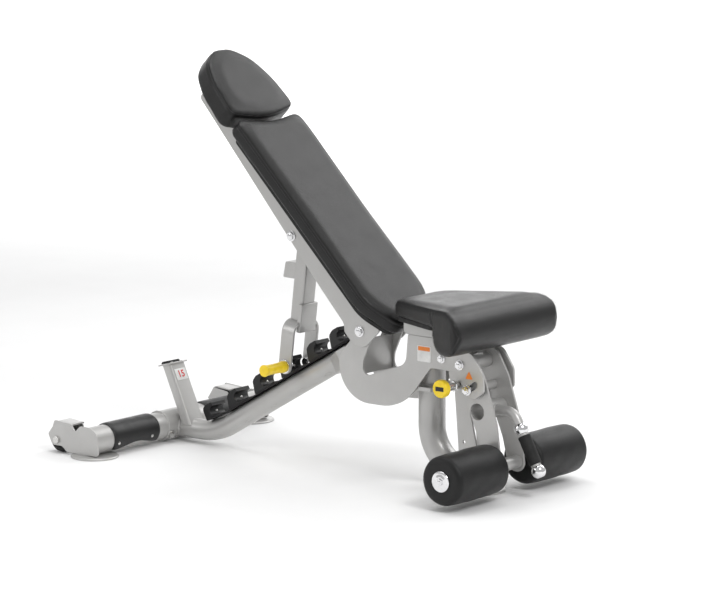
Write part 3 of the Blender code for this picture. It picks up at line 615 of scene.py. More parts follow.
def make_finishes():
    """Every finish of the bench, from the shared effects."""
    colours = bpy.context.scene.bench_colours
    tree, shader = finish("powder_coat", 0.42, Coat_Weight=0.18, Coat_Roughness=0.22)
    coat = use(tree, "sprayed_coat")
    patches = use(tree, "mottle", Size=14.0)
    paint = mixed(tree, coat.outputs["Sparkle"], shade(colours.paint, 0.93), shade(colours.paint, 1.06))
    worn = node(tree, "ShaderNodeMix", {0: patches.outputs["Mask"], 6: paint, 7: (*shade(colours.paint, 0.95), 1.0)},
                data_type="RGBA")
    dressed(tree, shader, worn.outputs[2], ranged(tree, patches.outputs["Mask"], 0.33, 0.42),
            coat.outputs["Height"], 0.10, 0.0004)

    tree, shader = finish("vinyl", Coat_Weight=0.08, Coat_Roughness=0.22, Specular_IOR_Level=0.34)
    grain = use(tree, "leather_grain", Cells=750.0)
    patches = use(tree, "mottle", Size=26.0)
    dressed(tree, shader, mixed(tree, patches.outputs["Mask"], shade(colours.vinyl, 0.85), shade(colours.vinyl, 1.25)),
            ranged(tree, patches.outputs["Mask"], 0.30, 0.38), grain.outputs["Height"], 0.26, 0.0006)

    tree, shader = finish("foam_skin", Specular_IOR_Level=0.36)
    grain = use(tree, "leather_grain", Cells=1100.0, Creases=38.0)
    scuff = use(tree, "rubbed", Size=40.0, Stretch=0.35)
    dressed(tree, shader, mixed(tree, scuff.outputs["Mask"], shade(colours.foam, 0.9), shade(colours.foam, 1.9)),
            ranged(tree, scuff.outputs["Mask"], 0.42, 0.58), grain.outputs["Height"], 0.22, 0.0005)

    for name, colour, rough, size, strength in (
        ("moulded_black", (0.006, 0.006, 0.0065), (0.38, 0.5), 1300.0, 0.25),
        ("rubber_black", (0.005, 0.005, 0.005), (0.6, 0.78), 800.0, 0.35),
        ("board_black", (0.010, 0.010, 0.010), (0.62, 0.8), 500.0, 0.4),
        ("grip_yellow", tuple(colours.yellow), (0.3, 0.4), 900.0, 0.12),
        ("tag_white", (0.78, 0.78, 0.77), (0.35, 0.45), 300.0, 0.05),
        ("tag_orange", (0.82, 0.23, 0.03), (0.35, 0.45), 300.0, 0.05),
        ("tag_red", (0.62, 0.02, 0.02), (0.4, 0.5), 300.0, 0.05),
        ("thread", (0.045, 0.045, 0.046), (0.55, 0.7), 2200.0, 0.4),
    ):
        tree, shader = finish(name)
        patches = use(tree, "mottle", Size=45.0)
        texture = use(tree, "sprayed_coat", Peel=size)
        dressed(tree, shader, mixed(tree, patches.outputs["Mask"], shade(colour, 0.9), shade(colour, 1.1)),
                ranged(tree, patches.outputs["Mask"], *rough), texture.outputs["Height"], strength, 0.0003)

    for name, colour, rough in (("polished", (0.82, 0.82, 0.83), (0.07, 0.2)),
                                ("zinc", (0.62, 0.615, 0.6), (0.26, 0.42))):
        tree, shader = finish(name, 1.0)
        scratch = use(tree, "rubbed", Size=160.0, Stretch=0.12, Amount=0.45)
        dressed(tree, shader, mixed(tree, scratch.outputs["Mask"], colour, shade(colour, 0.82)),
                ranged(tree, scratch.outputs["Mask"], *rough), scratch.outputs["Mask"], 0.05, 0.0002)


# Rear base

def build_rear_base():
    """Cross tube with its collar, sleeves, end brackets, wheels and feet."""
    half = [(0, 0.3317), (0.036, 0.3317), (0.036, 0.0655), (COLLAR_RADIUS, 0.062)]
    profile = half + [(r, -y) for r, y in reversed(half)]
    t = full_turn(60)
    x, z = COLLAR_RADIUS * np.cos(t) + REAR_TUBE[0], COLLAR_RADIUS * np.sin(t) + REAR_TUBE[1]
    rings = [np.stack([x, np.full(60, y), z], 1) for y in (-0.0625, 0.0625)]
    piece("rear_cross_tube_body", [turned(profile, REAR_TUBE, soft=0.0015)] + [bead(ring, 0.0022) for ring in rings],
          nodes=["rear_cross_tube"])
    spot = turned([(0, 0.0375), (0.0125, 0.0375), (0.0125, 0.0400), (0, 0.0400)], (0, 0), "Z", 32, 0.0005, -0.052)
    stud = hexagon(0.0088, 0.0395, 0.0465, (0, 0), "Z", 0.0010, -0.052)
    piece("collar_bolt", [radial(spot, 122), radial(stud, 122)], FLOOR, ZINC)
    for word, side in sides():
        guard(word, side)
        end_bracket(word, side)
        wheel(word, side)
        foot(f"rear_foot_{word}", 0.0, side * 0.308)
    foot("front_foot", 1.018, 0.0)


def guard(word, side):
    """Sleeve round the cross tube: an arc with thickness, carried along y, its lower edges rising in a scallop.

    Lower edge angle = 46 degrees below level at the ends, less 22 degrees times sin(pi * along)^2 in the middle.
    """
    s = np.linspace(0, 1, 41)[:, None]
    rise = 22 * np.sin(np.pi * s) ** 2
    t = np.linspace(0, 1, 37)[None]
    angle = np.radians((-46 + rise) + (272 - 2 * rise) * t)
    y = side * (0.098 + 0.174 * s) + 0 * angle
    thin = 1 - 0.85 * (np.abs(2 * s - 1) ** 24)
    outer, inner = 0.0364 + 0.0036 * thin, 0.0363 + 0 * thin
    loops = []
    for radius in (outer, inner):
        loops.append(np.stack([radius * np.cos(angle) + REAR_TUBE[0], y, radius * np.sin(angle) + REAR_TUBE[1]], -1))
    grid = np.concatenate([loops[0], loops[1][:, ::-1]], 1)
    closing = [np.concatenate([loops[1][i:i + 1], loops[1][i:i + 1, ::-1]], 1) for i in (0, -1)]
    grid = np.concatenate([closing[0], grid, closing[1]])
    piece(f"scuff_guard_{word}_shell", [(grid, False, True)], FLOOR, PLASTIC, "frame", [f"scuff_guard_{word}"])
    dome = [(0, 0.0425), (0.0026, 0.0421), (0.0044, 0.0406), (0.0048, 0.0385), (0, 0.0385)]
    heads = [radial(turned(dome, (0, 0), "Z", 28, 0, side * along), 106) for along in (0.130, 0.256)]
    piece(f"guard_rivets_{word}", heads, FLOOR, ZINC)


def radial(part, tilt):
    """A part drawn up the z axis, turned about the cross tube by tilt degrees from upright towards the seat."""
    grid, *wraps = part
    turn = math.radians(tilt)
    x, y, z = grid[..., 0], grid[..., 1], grid[..., 2]
    return (np.stack([x * math.cos(turn) + z * math.sin(turn) + REAR_TUBE[0], y,
                      z * math.cos(turn) - x * math.sin(turn) + REAR_TUBE[1]], -1), *wraps)


def end_bracket(word, side):
    """End plate folded over the wheel, with the axle bolt and its nut."""
    outline = fillet([
        (-0.072, 0.0065, 0.004), (0.0385, 0.0065, 0.010), (0.0385, 0.0805, 0.036), (-0.026, 0.0805, 0.012),
        (-0.044, 0.063, 0.005), (-0.056, 0.082, 0.004), (-0.116, 0.086, 0.006), (-0.123, 0.068, 0.006),
        (-0.139, 0.048, 0.006), (-0.125, 0.020, 0.014), (-0.090, 0.020, 0.010),
    ])
    plate(f"end_bracket_{word}_plate", [outline], *span(side, 0.332, 0.337),
          nodes=[f"end_bracket_{word}"], edge=0.0016)
    along = soften([(-0.0575, 0.0788), (-0.1135, 0.0829), (-0.1235, 0.0650), (-0.1360, 0.0475)], 0.012, steps=6)
    half = (0.334 - 0.286) / 2
    grid, *wraps = swept(along, bar_section(half, 0.0021, 0.0018))
    grid[..., 1] += side * (0.286 + half)
    piece(f"wheel_cover_{word}", [(grid, *wraps)])
    lobe = fillet([(-0.0570, 0.0735, 0.006), (-0.1120, 0.0800, 0.008), (-0.1210, 0.0640, 0.008),
                   (-0.1330, 0.0470, 0.006), (-0.1210, 0.0260, 0.014), (-0.0880, 0.0260, 0.014)])
    plate(f"wheel_inner_{word}", [lobe], *span(side, 0.2830, 0.2860))
    bolt = turned(flipped([(0, 0.290), (0.006, 0.290), (0.006, 0.338), (0, 0.338)], side), WHEEL_AXLE, soft=0.0006)
    nuts = [hexagon(0.0105, *span(side, 0.337, 0.343), WHEEL_AXLE),
            hexagon(0.0100, *span(side, 0.2885, 0.2955), WHEEL_AXLE)]
    piece(f"wheel_axle_{word}", [bolt, *nuts], FLOOR, ZINC)


def wheel(word, side):
    """Solid rubber tread on a dished hub, with two grooves round it."""
    low, high = 0.298, 0.327
    tread = [(0.0200, high - 0.002), (0.0290, high), (0.0320, high - 0.0015), (0.0335, high - 0.005),
             (0.0335, 0.3165), (0.0325, 0.3160), (0.0325, 0.3145), (0.0335, 0.3140), (0.0335, 0.3110),
             (0.0325, 0.3105), (0.0325, 0.3090), (0.0335, 0.3085), (0.0335, low + 0.005), (0.0320, low + 0.0015),
             (0.0290, low), (0.0200, low + 0.002)]
    hub = [(0.0062, high - 0.001), (0.0120, high - 0.001), (0.0130, high - 0.004), (0.0205, high - 0.004),
           (0.0205, low + 0.004), (0.0130, low + 0.004), (0.0120, low + 0.001), (0.0062, low + 0.001)]
    piece(f"wheel_tread_{word}", [turned(flipped(tread, side), WHEEL_AXLE, closed=True, soft=0.0007)], FLOOR, RUBBER,
          f"wheel_{word}", [f"transport_wheel_{word}"])
    piece(f"wheel_hub_{word}", [turned(flipped(hub, side), WHEEL_AXLE, closed=True, soft=0.0008)], FLOOR, PLASTIC,
          f"wheel_{word}")


def foot(name, x, y):
    """Flat round pad with a rolled rim, and the screw boss in its middle."""
    profile = [(0, FOOT_HIGH - 0.0004), (0.052, FOOT_HIGH - 0.0004), (0.0565, FOOT_HIGH), (0.0600, FOOT_HIGH - 0.0008),
               (0.0625, 0.0028), (0.0625, 0.0010), (0.0605, 0), (0, 0)]
    piece(f"{name}_disc", [turned(profile, (x, 0), "Z", 96, 0.0010, y)], nodes=[name])


# Ladder

def build_ladder():
    """Spine with its strip, hooks and saddle, and the rear post."""
    end = at(SPINE, SPINE_RUN, 0)
    route = divided(bent([(0.026, SPINE_BEND[1]), SPINE_BEND, end], 0.2, 2.5), 12, 20)
    piece("spine_tube_body", [swept(route, ring_section(SPINE_RADIUS))], nodes=["spine_tube"])
    t = full_turn(72)
    y, z = 0.0272 * np.cos(t), 0.0272 * np.sin(t) + SPINE_BEND[1]
    x = np.sqrt(0.0386**2 - (z - REAR_TUBE[1]) ** 2)
    piece("spine_collar_weld", [bead(np.stack([x, y, z], 1), 0.0032)])
    piece("ladder_strip_body", [block((0.075, -0.027, 0.0273), (SPINE_RUN - 0.005, 0.027, 0.030), 0.0011)], SPINE,
          PLASTIC, "frame", ["ladder_strip"])
    for number in range(len(HOOK_PLACES)):
        hook(number)
    access_marks()
    wide = INSIDE_YOKE
    plan = fillet([(0.475, 0.031, 0.004), (0.475, -0.031, 0.004), (0.525, -wide, 0.010), (0.560, -wide, 0.002),
                   (0.560, wide, 0.002), (0.525, wide, 0.010)])
    plate("spine_saddle_block", [plan], -0.034, 0.014, SPINE, PAINT, "frame", ["spine_saddle"], False, 0.003)
    rear_post()


def access_marks():
    """Oval rims low on the spine's flanks, one under each hook: an ellipse laid on the tube by its angle round it."""
    t = full_turn(40)
    parts = []
    for place in HOOK_PLACES[1:]:
        for side in (-1, 1):
            x = place - 0.010 + 0.0095 * np.cos(t)
            turn = np.radians(-48) + 0.0052 / SPINE_RADIUS * np.sin(t)
            ring = np.stack([x, side * 0.0268 * np.cos(turn), 0.0268 * np.sin(turn)], 1)
            parts.append(bead(ring, 0.0010, 0))
    piece("spine_access_rims", parts, SPINE, PAINT, "frame")


def hook(number):
    """One claw: a thick leaning back and lip round the cup, open forwards, screwed on through the back of the cup."""
    place, x, z = (SPINE, HOOK_PLACES[number], HOOK_HEIGHT) if number else (LOW_HOOK, 0.0, HOOK_HEIGHT)
    base, heel = 0.0303, x - (0.046 if number else 0.034)
    shell = fillet([
        (x + 0.028, base + 0.0042, 0.0018), (x + 0.028, base, 0.0012), (heel, base, 0.002),
        (x - 0.036, z + 0.016, 0.013), (x - 0.020, z + 0.0235, 0.012), (x + 0.001, z + 0.0235, 0.0022),
        (x + 0.001, z + 0.0150, 0.0018),
    ])
    outline = np.vstack([shell, arc((x, z), 0.013, 86, 262), [(x + 0.004, base + 0.0046)]])
    plate(f"ladder_hook_{number + 1}_claw", [outline], -0.0275, 0.0275, place, PLASTIC, "frame",
          [f"ladder_hook_{number + 1}"], edge=0.0013)
    grid, *wraps = turned([(0, 0.0110), (0.0022, 0.0112), (0.0040, 0.0124), (0.0045, 0.0136), (0, 0.0140)],
                          (0, 0), "X", 28, 0.0003)
    piece(f"hook_screw_{number + 1}", [(grid * (-1, 1, 1) + (x, 0, z + 0.001), *wraps)], place, ZINC, "frame")


def rear_post():
    """Leaning box tube, its cap, rubber rest, and a number tag."""
    base, top = np.array((0.0657, 0.048)), np.array((-0.0042, 0.1995))
    lean = (top - base) / np.linalg.norm(top - base)
    out = np.array((lean[1], -lean[0]))
    section = bar_section(0.029, 0.0152, 0.0075)
    cap_turn = math.radians(-CAP[2])
    cap_normal = np.array((-math.sin(cap_turn), math.cos(cap_turn)))
    offset = section[:, 1:2] * out[None]
    to_top = ((top - base - offset) @ cap_normal) / (lean @ cap_normal)
    to_bottom = (-offset[:, 1]) / lean[1]
    reach = np.stack([to_bottom, to_bottom + (to_top - to_bottom) / 2, to_top])[..., None]
    xz = base + offset[None] + reach * lean
    grid = np.stack([xz[..., 0], np.broadcast_to(section[:, 0], xz.shape[:2]), xz[..., 1]], -1)
    piece("rear_post_tube", [(capped(grid), False, True)], nodes=["rear_post"])
    piece("rear_post_cap", [block((-0.022, -0.034, -0.002), (0.022, 0.034, 0.002), 0.0012)], CAP, PAINT, "frame")
    ridges = [block((x, -0.022, 0.0050), (x + 0.0045, 0.022, 0.0085), 0.0012) for x in (-0.0175, -0.0085, 0.0005)]
    piece("rear_post_rest", [*ridges, block((-0.019, -0.024, 0.0023), (0.006, 0.024, 0.0060), 0.0015)], CAP, RUBBER,
          nodes=["post_bumper"])
    caps = [turned([(0, 0.0040), (0.0030, 0.0038), (0.0045, 0.0026), (0.0045, 0.0020), (0, 0.0020)], (0.0125, 0.0),
                   "Z", 28, 0.0003, y) for y in (-0.018, 0.018)]
    piece("rear_post_screws", caps, CAP, ZINC, "frame")
    face = base + lean * 0.133 + out * 0.0153
    tilt = -math.degrees(math.atan2(-lean[0], lean[1]))
    tag_place = (face[0], face[1], tilt)
    piece("post_tag", [block((0.0, -0.020, -0.0155), (0.0007, 0.020, 0.0155), 0.0003)], tag_place, TAG, "frame")
    number_mark("post_number", "15", 0.026, tag_place)


def number_mark(name, text, size, place):
    """Flat numerals standing a hair proud of their tag."""
    font = bpy.data.curves.new(name, "FONT")
    font.body, font.size, font.extrude = text, size, 0.00015
    font.align_x, font.align_y, font.fill_mode, font.offset = "CENTER", "CENTER", "BOTH", size * 0.022
    mesh = meshed(name, font)
    x, y, z = coordinates(mesh).T
    mesh.vertices.foreach_set("co", in_row(np.stack([0.00085 + z, x, y], 1), place).ravel())
    finished(name, mesh, RED, "frame")


# Yoke, front post and pull pin

YOKE = [
    (0.724, 0.407, 0.0338), (0.656, 0.407, 0.0338), (0.655, 0.346, 0.020), (0.617, 0.306, 0.040),
    (0.617, 0.191, 0.096), (0.819, 0.191, 0.140), (0.910, 0.305, 0.016), (0.991, 0.303, 0.018),
    (1.018, 0.250, 0.006), (1.046, 0.240, 0.012), (1.075, 0.262, 0.014), (1.073, 0.305, 0.030),
    (1.037, 0.357, 0.030), (0.962, 0.357, 0.020), (0.925, 0.381, 0.010), (0.838, 0.381, 0.003),
    (0.831, 0.305, 0.030), (0.693, 0.256, 0.017), (0.696, 0.300, 0.040), (0.724, 0.362, 0.010),
]


def build_yoke():
    """Yoke plates with their web and bolts, the front post, braces, and the pull pin."""
    start = math.degrees(math.atan2(STOP_AT[1], STOP_AT[0]))
    slot = arc_slot(LEG_PIVOT, math.hypot(*STOP_AT), 0.0082, start, start + LEG_SWING)
    holes = [circle(centre, BOLT_HOLE) for centre in (BACK_PIVOT, LEG_PIVOT, SPACER_AT)]
    for word, side in sides():
        plate(f"yoke_{word}", [fillet(YOKE), *holes, slot], *span(side, *YOKE_FACES),
              nodes=[f"yoke_plate_{word}"], edge=0.0013)
    tag = rectangle(0.869, 0.318, 0.911, 0.358, 0.003)
    band = rectangle(0.8715, 0.3455, 0.9085, 0.3560, 0.001)
    triangle = fillet([(1.0185, 0.291, 0.002), (1.0415, 0.291, 0.002), (1.030, 0.311, 0.002)])
    plate("yoke_label", [tag], -0.0657, -0.0651, FLOOR, TAG, "frame", edge=0.0001)
    plate("yoke_label_band", [band], -0.0660, -0.0655, FLOOR, ORANGE, "frame", edge=0.0001)
    plate("yoke_sign", [triangle], -0.0657, -0.0651, FLOOR, ORANGE, "frame", edge=0.0001)
    piece("yoke_web_plate", [block((0.684, -INSIDE_YOKE, 0.262), (0.690, INSIDE_YOKE, 0.350))],
          nodes=["yoke_web"])
    sleeve = turned([(0, INSIDE_YOKE), (0.0125, INSIDE_YOKE), (0.0125, -INSIDE_YOKE), (0, -INSIDE_YOKE)], SPACER_AT)
    piece("yoke_spacer_sleeve", [sleeve], nodes=["yoke_spacer"])
    piece("yoke_spacer_bolt", bolt_pair(SPACER_AT, 0.0652, 0.0090, 0.0108, 0.0065), FLOOR, CHROME)
    piece("leg_pivot_bolt_set", [bolt_shank(LEG_PIVOT, 0.066),
                                 *bolt_pair(LEG_PIVOT, 0.0653, 0.0105, 0.0128, 0.0065)],
          FLOOR, CHROME, "frame", ["leg_pivot_bolt"])
    front_post()
    pull_pin()


def front_post():
    """Bent post from the yoke to the front foot, its saddle plate, and the two braces behind the leg holder."""
    route = divided(bent([(POST_TUBE_X, 0.345), (POST_TUBE_X, 0.0403), (1.050, 0.0403)], 0.11, 4), 14, 6)
    piece("front_post_tube", [swept(route, ring_section(POST_RADIUS))], nodes=["front_post"])
    wide = INSIDE_YOKE
    plan = fillet([(0.792, wide, 0.002), (0.792, -wide, 0.002), (0.905, -wide, 0.002), (0.905, wide, 0.002)])
    plate("post_saddle_plate", [plan, circle((POST_TUBE_X, 0), 0.0343)], 0.242, 0.252,
          nodes=["post_saddle"], across=False)
    t = full_turn(64)
    ring = np.stack([POST_TUBE_X + 0.0345 * np.cos(t), 0.0345 * np.sin(t), np.full(64, 0.2525)], 1)
    piece("post_saddle_weld", [bead(ring - (0, 0, drop), 0.0026) for drop in (0, 0.011)])
    outline = fillet([(0.966, 0.252, 0.006), (1.002, 0.252, 0.006), (1.036, 0.114, 0.030), (1.040, 0.030, 0.010),
                      (0.985, 0.030, 0.010), (0.978, 0.114, 0.030)])
    for word, side in sides():
        plate(f"brace_{word}", [outline, circle((0.996, 0.126), 0.004)], *span(side, 0.0343, 0.040), FLOOR, PAINT,
              "frame", [f"foot_brace_{word}"])


def pull_pin():
    """Bracket and barrel, and the pin with its knob and dark face plate."""
    outline = fillet([
        (0.962, 0.350, 0.005), (0.962, 0.292, 0.020), (0.976, 0.254, 0.006), (1.009, 0.254, 0.006),
        (1.009, 0.292, 0.006), (0.987, 0.306, 0.010), (0.987, 0.350, 0.005),
    ])
    plate("pin_bracket_plate", [outline, circle(PIN_AT, 0.0054)], -INSIDE_YOKE, -0.0532,
          nodes=["pin_bracket"])
    barrel = [(0.0054, -0.0560), (0.0110, -0.0560), (0.0110, -0.0760), (0.0104, -0.0764), (0.0104, -0.0825),
              (0.0105, -0.1040), (0.0054, -0.1040)]
    nut = hexagon(0.0140, -0.0820, -0.0762, PIN_AT)
    piece("pin_barrel_body", [turned(barrel[::-1], PIN_AT, closed=True)], FLOOR, ZINC)
    piece("pin_lock_nut", [nut], FLOOR, CHROME)
    knob = [(0, -0.1050), (0.0085, -0.1052), (0.0105, -0.1070), (0.0120, -0.1130), (0.0190, -0.1165),
            (0.0222, -0.1190), (0.0230, -0.1225), (0.0230, -0.1305), (0.0222, -0.1335), (0.0200, -0.1350),
            (0, -0.1350)]
    grid, *wraps = turned(knob, PIN_AT, soft=0.0010, sides=120)
    t = full_turn(120)[:, None]
    depth = np.clip((np.hypot(grid[..., 0] - PIN_AT[0], grid[..., 2] - PIN_AT[1]) - 0.019) / 0.004, 0, 1)
    scale = 1 - 0.022 * depth * (0.5 + 0.5 * np.cos(12 * t))
    grid[..., 0] = PIN_AT[0] + (grid[..., 0] - PIN_AT[0]) * scale
    grid[..., 2] = PIN_AT[1] + (grid[..., 2] - PIN_AT[1]) * scale
    piece("pin_knob_body", [(grid, *wraps)], FLOOR, YELLOW, "pop_pin", ["pop_pin_knob"])
    stem = turned([(0, -0.0505), (0.0050, -0.0515), (0.0050, -0.1060), (0, -0.1060)], PIN_AT, soft=0.0006)
    piece("pin_stem", [stem], FLOOR, CHROME, "pop_pin")
    mark = block((PIN_AT[0] - 0.0125, -0.1354, PIN_AT[1] - 0.0055), (PIN_AT[0] + 0.0125, -0.1348, PIN_AT[1] + 0.0055),
                 0.0003)
    piece("pin_face_plate", [mark], FLOOR, PLASTIC, "pop_pin")


# Pads

def pad_grid(outline, low, high, inset, round_low, round_high, rings):
    """Closed pad between two heights: an outline drawn in towards its middle for the faces, round at both edges."""
    centre = outline.mean(0)
    lengths = np.linalg.norm(outline - centre, axis=1)[:, None]
    direction = (outline - centre) / lengths
    turns = np.linspace(0, np.pi / 2, 6)[:, None]
    inward = np.linspace(0, 1, rings)[:, None]

    def ring(pull):
        return centre + direction[None] * np.maximum(lengths[None] - pull[..., None], 0)

    face_low = ring(inset + round_low + (lengths.T - inset - round_low) * (1 - inward))
    edge_low = ring(inset + round_low * (1 - np.sin(turns)) + 0 * lengths.T)
    edge_high = ring(inset + round_high * (1 - np.sin(turns[::-1])) + 0 * lengths.T)
    face_high = ring(inset + round_high + (lengths.T - inset - round_high) * inward)
    flat = np.concatenate([face_low, edge_low, edge_high, face_high])
    lift = np.concatenate([0 * inward, round_low * (1 - np.cos(turns)), -round_high * (1 - np.cos(turns[::-1])),
                           0 * inward])
    base = np.repeat((low, high), rings + 6)[:, None]
    return np.concatenate([flat, np.broadcast_to(base + lift, flat.shape[:2])[..., None]], -1), False, True


def resampled(outline, step):
    """The same closed outline with even spacing."""
    closed = np.vstack([outline, outline[:1]])
    long = travel(closed)[-1]
    return sampled(closed, np.linspace(0, long, int(long / step), endpoint=False))


def evaluated(made):
    """The piece's mesh with its modifiers applied."""
    bpy.context.view_layer.update()
    return bpy.data.meshes.new_from_object(made.evaluated_get(bpy.context.evaluated_depsgraph_get()))


def swapped(made, mesh):
    """Gives the piece a new mesh, keeping its finish, and drops its modifiers."""
    old = made.data
    made.modifiers.clear()
    mesh.materials.clear()
    for look in old.materials:
        mesh.materials.append(look)
    made.data = mesh
    bpy.data.meshes.remove(old)


def plump(name, grid, keep_under, keep_before=9.0):
    """Fills a pad: voxel remesh, cloth under inner pressure for 20 frames, capped travel, one subdivision.

    keep_under is the height, in the pad's own frame, under which its base stays flat on its board, as far along as
    keep_before.
    """
    sizes = bpy.context.scene.bench_sizes
    points, faces = joined([grid])
    mesh = bpy.data.meshes.new(name)
    mesh.from_pydata(points.tolist(), [], faces.tolist())
    work = bmesh.new()
    work.from_mesh(mesh)
    bmesh.ops.remove_doubles(work, verts=work.verts, dist=1e-6)
    bmesh.ops.recalc_face_normals(work, faces=work.faces)
    work.to_mesh(mesh)
    work.free()
    made = bpy.data.objects.new(name, mesh)
    bpy.context.scene.collection.objects.link(made)
    remesh = made.modifiers.new("cells", "REMESH")
    remesh.mode, remesh.voxel_size = "VOXEL", sizes.voxel
    swapped(made, evaluated(made))
    before = coordinates(made.data)
    cloth = made.modifiers.new("cover", "CLOTH")
    cloth.settings.use_pressure = True
    cloth.settings.uniform_pressure_force = 4.0
    cloth.settings.quality = 4
    cloth.settings.mass = 0.3
    cloth.settings.tension_stiffness = cloth.settings.compression_stiffness = 6
    cloth.settings.shear_stiffness = 6
    cloth.settings.bending_stiffness = 8
    cloth.settings.effector_weights.gravity = 0
    cloth.point_cache.frame_start, cloth.point_cache.frame_end = 1, 20
    for number in range(1, 21):
        bpy.context.scene.frame_set(number)
    mesh = evaluated(made)
    normal = coordinates(made.data, "normal")
    out = evened(made.data, np.sum((coordinates(mesh) - before) * normal, 1))
    bpy.data.meshes.remove(mesh)
    made.modifiers.clear()
    rests = (before[:, 2] < keep_under) & (before[:, 0] < keep_before) & (normal[:, 2] < -0.5)
    out = np.where(rests, 0, np.clip(out, 0, sizes.swell))
    made.data.vertices.foreach_set("co", (before + normal * evened(made.data, out, 6)[:, None]).ravel())
    made.data.update()
    bpy.context.scene.frame_set(1)
    finer = made.modifiers.new("finer", "SUBSURF")
    finer.levels = finer.render_levels = 1
    swapped(made, evaluated(made))
    return made


def evened(mesh, values, rounds=40):
    """Values at a mesh's points, each replaced by the mean of itself and its neighbours, several times over."""
    ends = np.zeros(len(mesh.edges) * 2, int)
    mesh.edges.foreach_get("vertices", ends)
    a, b = ends.reshape(-1, 2).T
    count = 1 + np.bincount(a, minlength=len(values)) + np.bincount(b, minlength=len(values))
    for _ in range(rounds):
        total = values + np.bincount(a, values[b], len(values)) + np.bincount(b, values[a], len(values))
        values = total / count
    return values


def sewn(made, lines, place, width=0.0042):
    """Pulls the cover in along seam lines, and returns each line laid on the sewn surface with its normals.

    A point at distance d from a seam moves in by depth * exp(-(d / width)^2), along its normal.
    """
    depth = bpy.context.scene.bench_sizes.seam_depth
    mesh = made.data
    points, normals = coordinates(mesh), coordinates(mesh, "normal")
    tree = BVHTree.FromPolygons(points.tolist(), [tuple(p.vertices) for p in mesh.polygons])
    laid = []
    for line in lines:
        hits = [tree.find_nearest(point) for point in line.tolist()]
        laid.append((np.array([hit[0] for hit in hits]), np.array([hit[1] for hit in hits])))
    near = np.full(len(points), 1.0)
    for on_cover, _ in laid:
        for part in range(0, len(points), 4000):
            gap = np.linalg.norm(points[part:part + 4000, None] - on_cover[None], axis=2).min(1)
            near[part:part + 4000] = np.minimum(near[part:part + 4000], gap)
    points -= normals * (depth * np.exp(-(near / width) ** 2))[:, None]
    mesh.vertices.foreach_set("co", in_row(points, place).ravel())
    mesh.update()
    mesh.shade_smooth()
    return laid


def stitches(name, laid, place, body, aside=0.0036, lift=0.0006):
    """A row of short thread stitches beside each seam: an ellipsoid repeated along the line, turned to follow it."""
    step = bpy.context.scene.bench_sizes.stitch_step
    grain, *_ = turned([(0, 1), (0.55, 0.75), (0.9, 0.3), (0.9, -0.3), (0.55, -0.75), (0, -1)], (0, 0), "Z", 6, 0)
    rows, columns = grain.shape[:2]
    parts = []
    for line, normal in laid:
        wanted = np.arange(step / 2, travel(line)[-1], step)
        middle = sampled(line, wanted)
        ahead = unit(sampled(line, wanted + 0.001) - middle)
        up = sampled(line, wanted, normal)
        up = unit(up - ahead * np.sum(up * ahead, 1)[:, None])
        beside = np.cross(up, ahead)
        centre = middle + up * lift + beside * aside
        local = grain.reshape(-1, 3) * (0.00045, 0.00045, step * 0.36)
        cloud = (centre[:, None] + local[None, :, 0:1] * up[:, None] + local[None, :, 1:2] * beside[:, None]
                 + local[None, :, 2:3] * ahead[:, None])
        parts += [(cloud[i].reshape(rows, columns, 3), True, False) for i in range(len(centre))]
    return piece(name, parts, place, THREAD, body)


def covered(made, look, body, nodes):
    """Finishes a pad: its cover, its body and the solid that it stands for."""
    made.data.materials.clear()
    made.data.materials.append(bpy.data.materials[look[0]])
    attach(made, body)
    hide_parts(*nodes)
    return made


def build_seat():
    """Seat bracket, board, and the pad with its roll and boxed side panels."""
    cheek = fillet([(0.825, 0.4155, 0.003), (0.825, 0.3815, 0.012), (0.915, 0.3815, 0.003), (0.915, 0.4155, 0.003)])
    for word, side in sides():
        plate(f"seat_bracket_{word}", [cheek], *span(side, 0.0595, 0.065),
              nodes=["seat_bracket"] if side < 0 else ())
    piece("seat_bracket_top", [block((0.826, -0.062, 0.4107), (0.914, 0.062, 0.4155), 0.001)])
    plan = fillet([(0.822, 0.086, 0.015), (0.822, -0.086, 0.015), (0.984, -0.150, 0.015), (0.984, 0.150, 0.015)])
    plate("seat_board_panel", [plan], 0.4158, 0.4277, FLOOR, BOARD, "frame", ["seat_board"], False, 0.0015)
    bolts = [hexagon(0.0075, 0.4045, 0.4107, (x, 0.0), "Z", 0.0009, y)
             for x in (0.845, 0.895) for y in (-0.035, 0.035)]
    piece("seat_board_bolts", bolts, FLOOR, ZINC)
    seat_pad()


def seat_width(x):
    """Half-width of the seat pad: straight from rear to front, drawn in on quarter circles at both ends."""
    straight = 0.0935 + (0.2150 - 0.0935) * (x - SEAT_REAR) / (SEAT_FRONT - SEAT_REAR)
    for gap, radius in ((x - SEAT_REAR, 0.014), (SEAT_FRONT - x, 0.022)):
        short = np.clip(radius - gap, 0, radius)
        straight = straight - (radius - np.sqrt(radius**2 - short**2))
    return straight


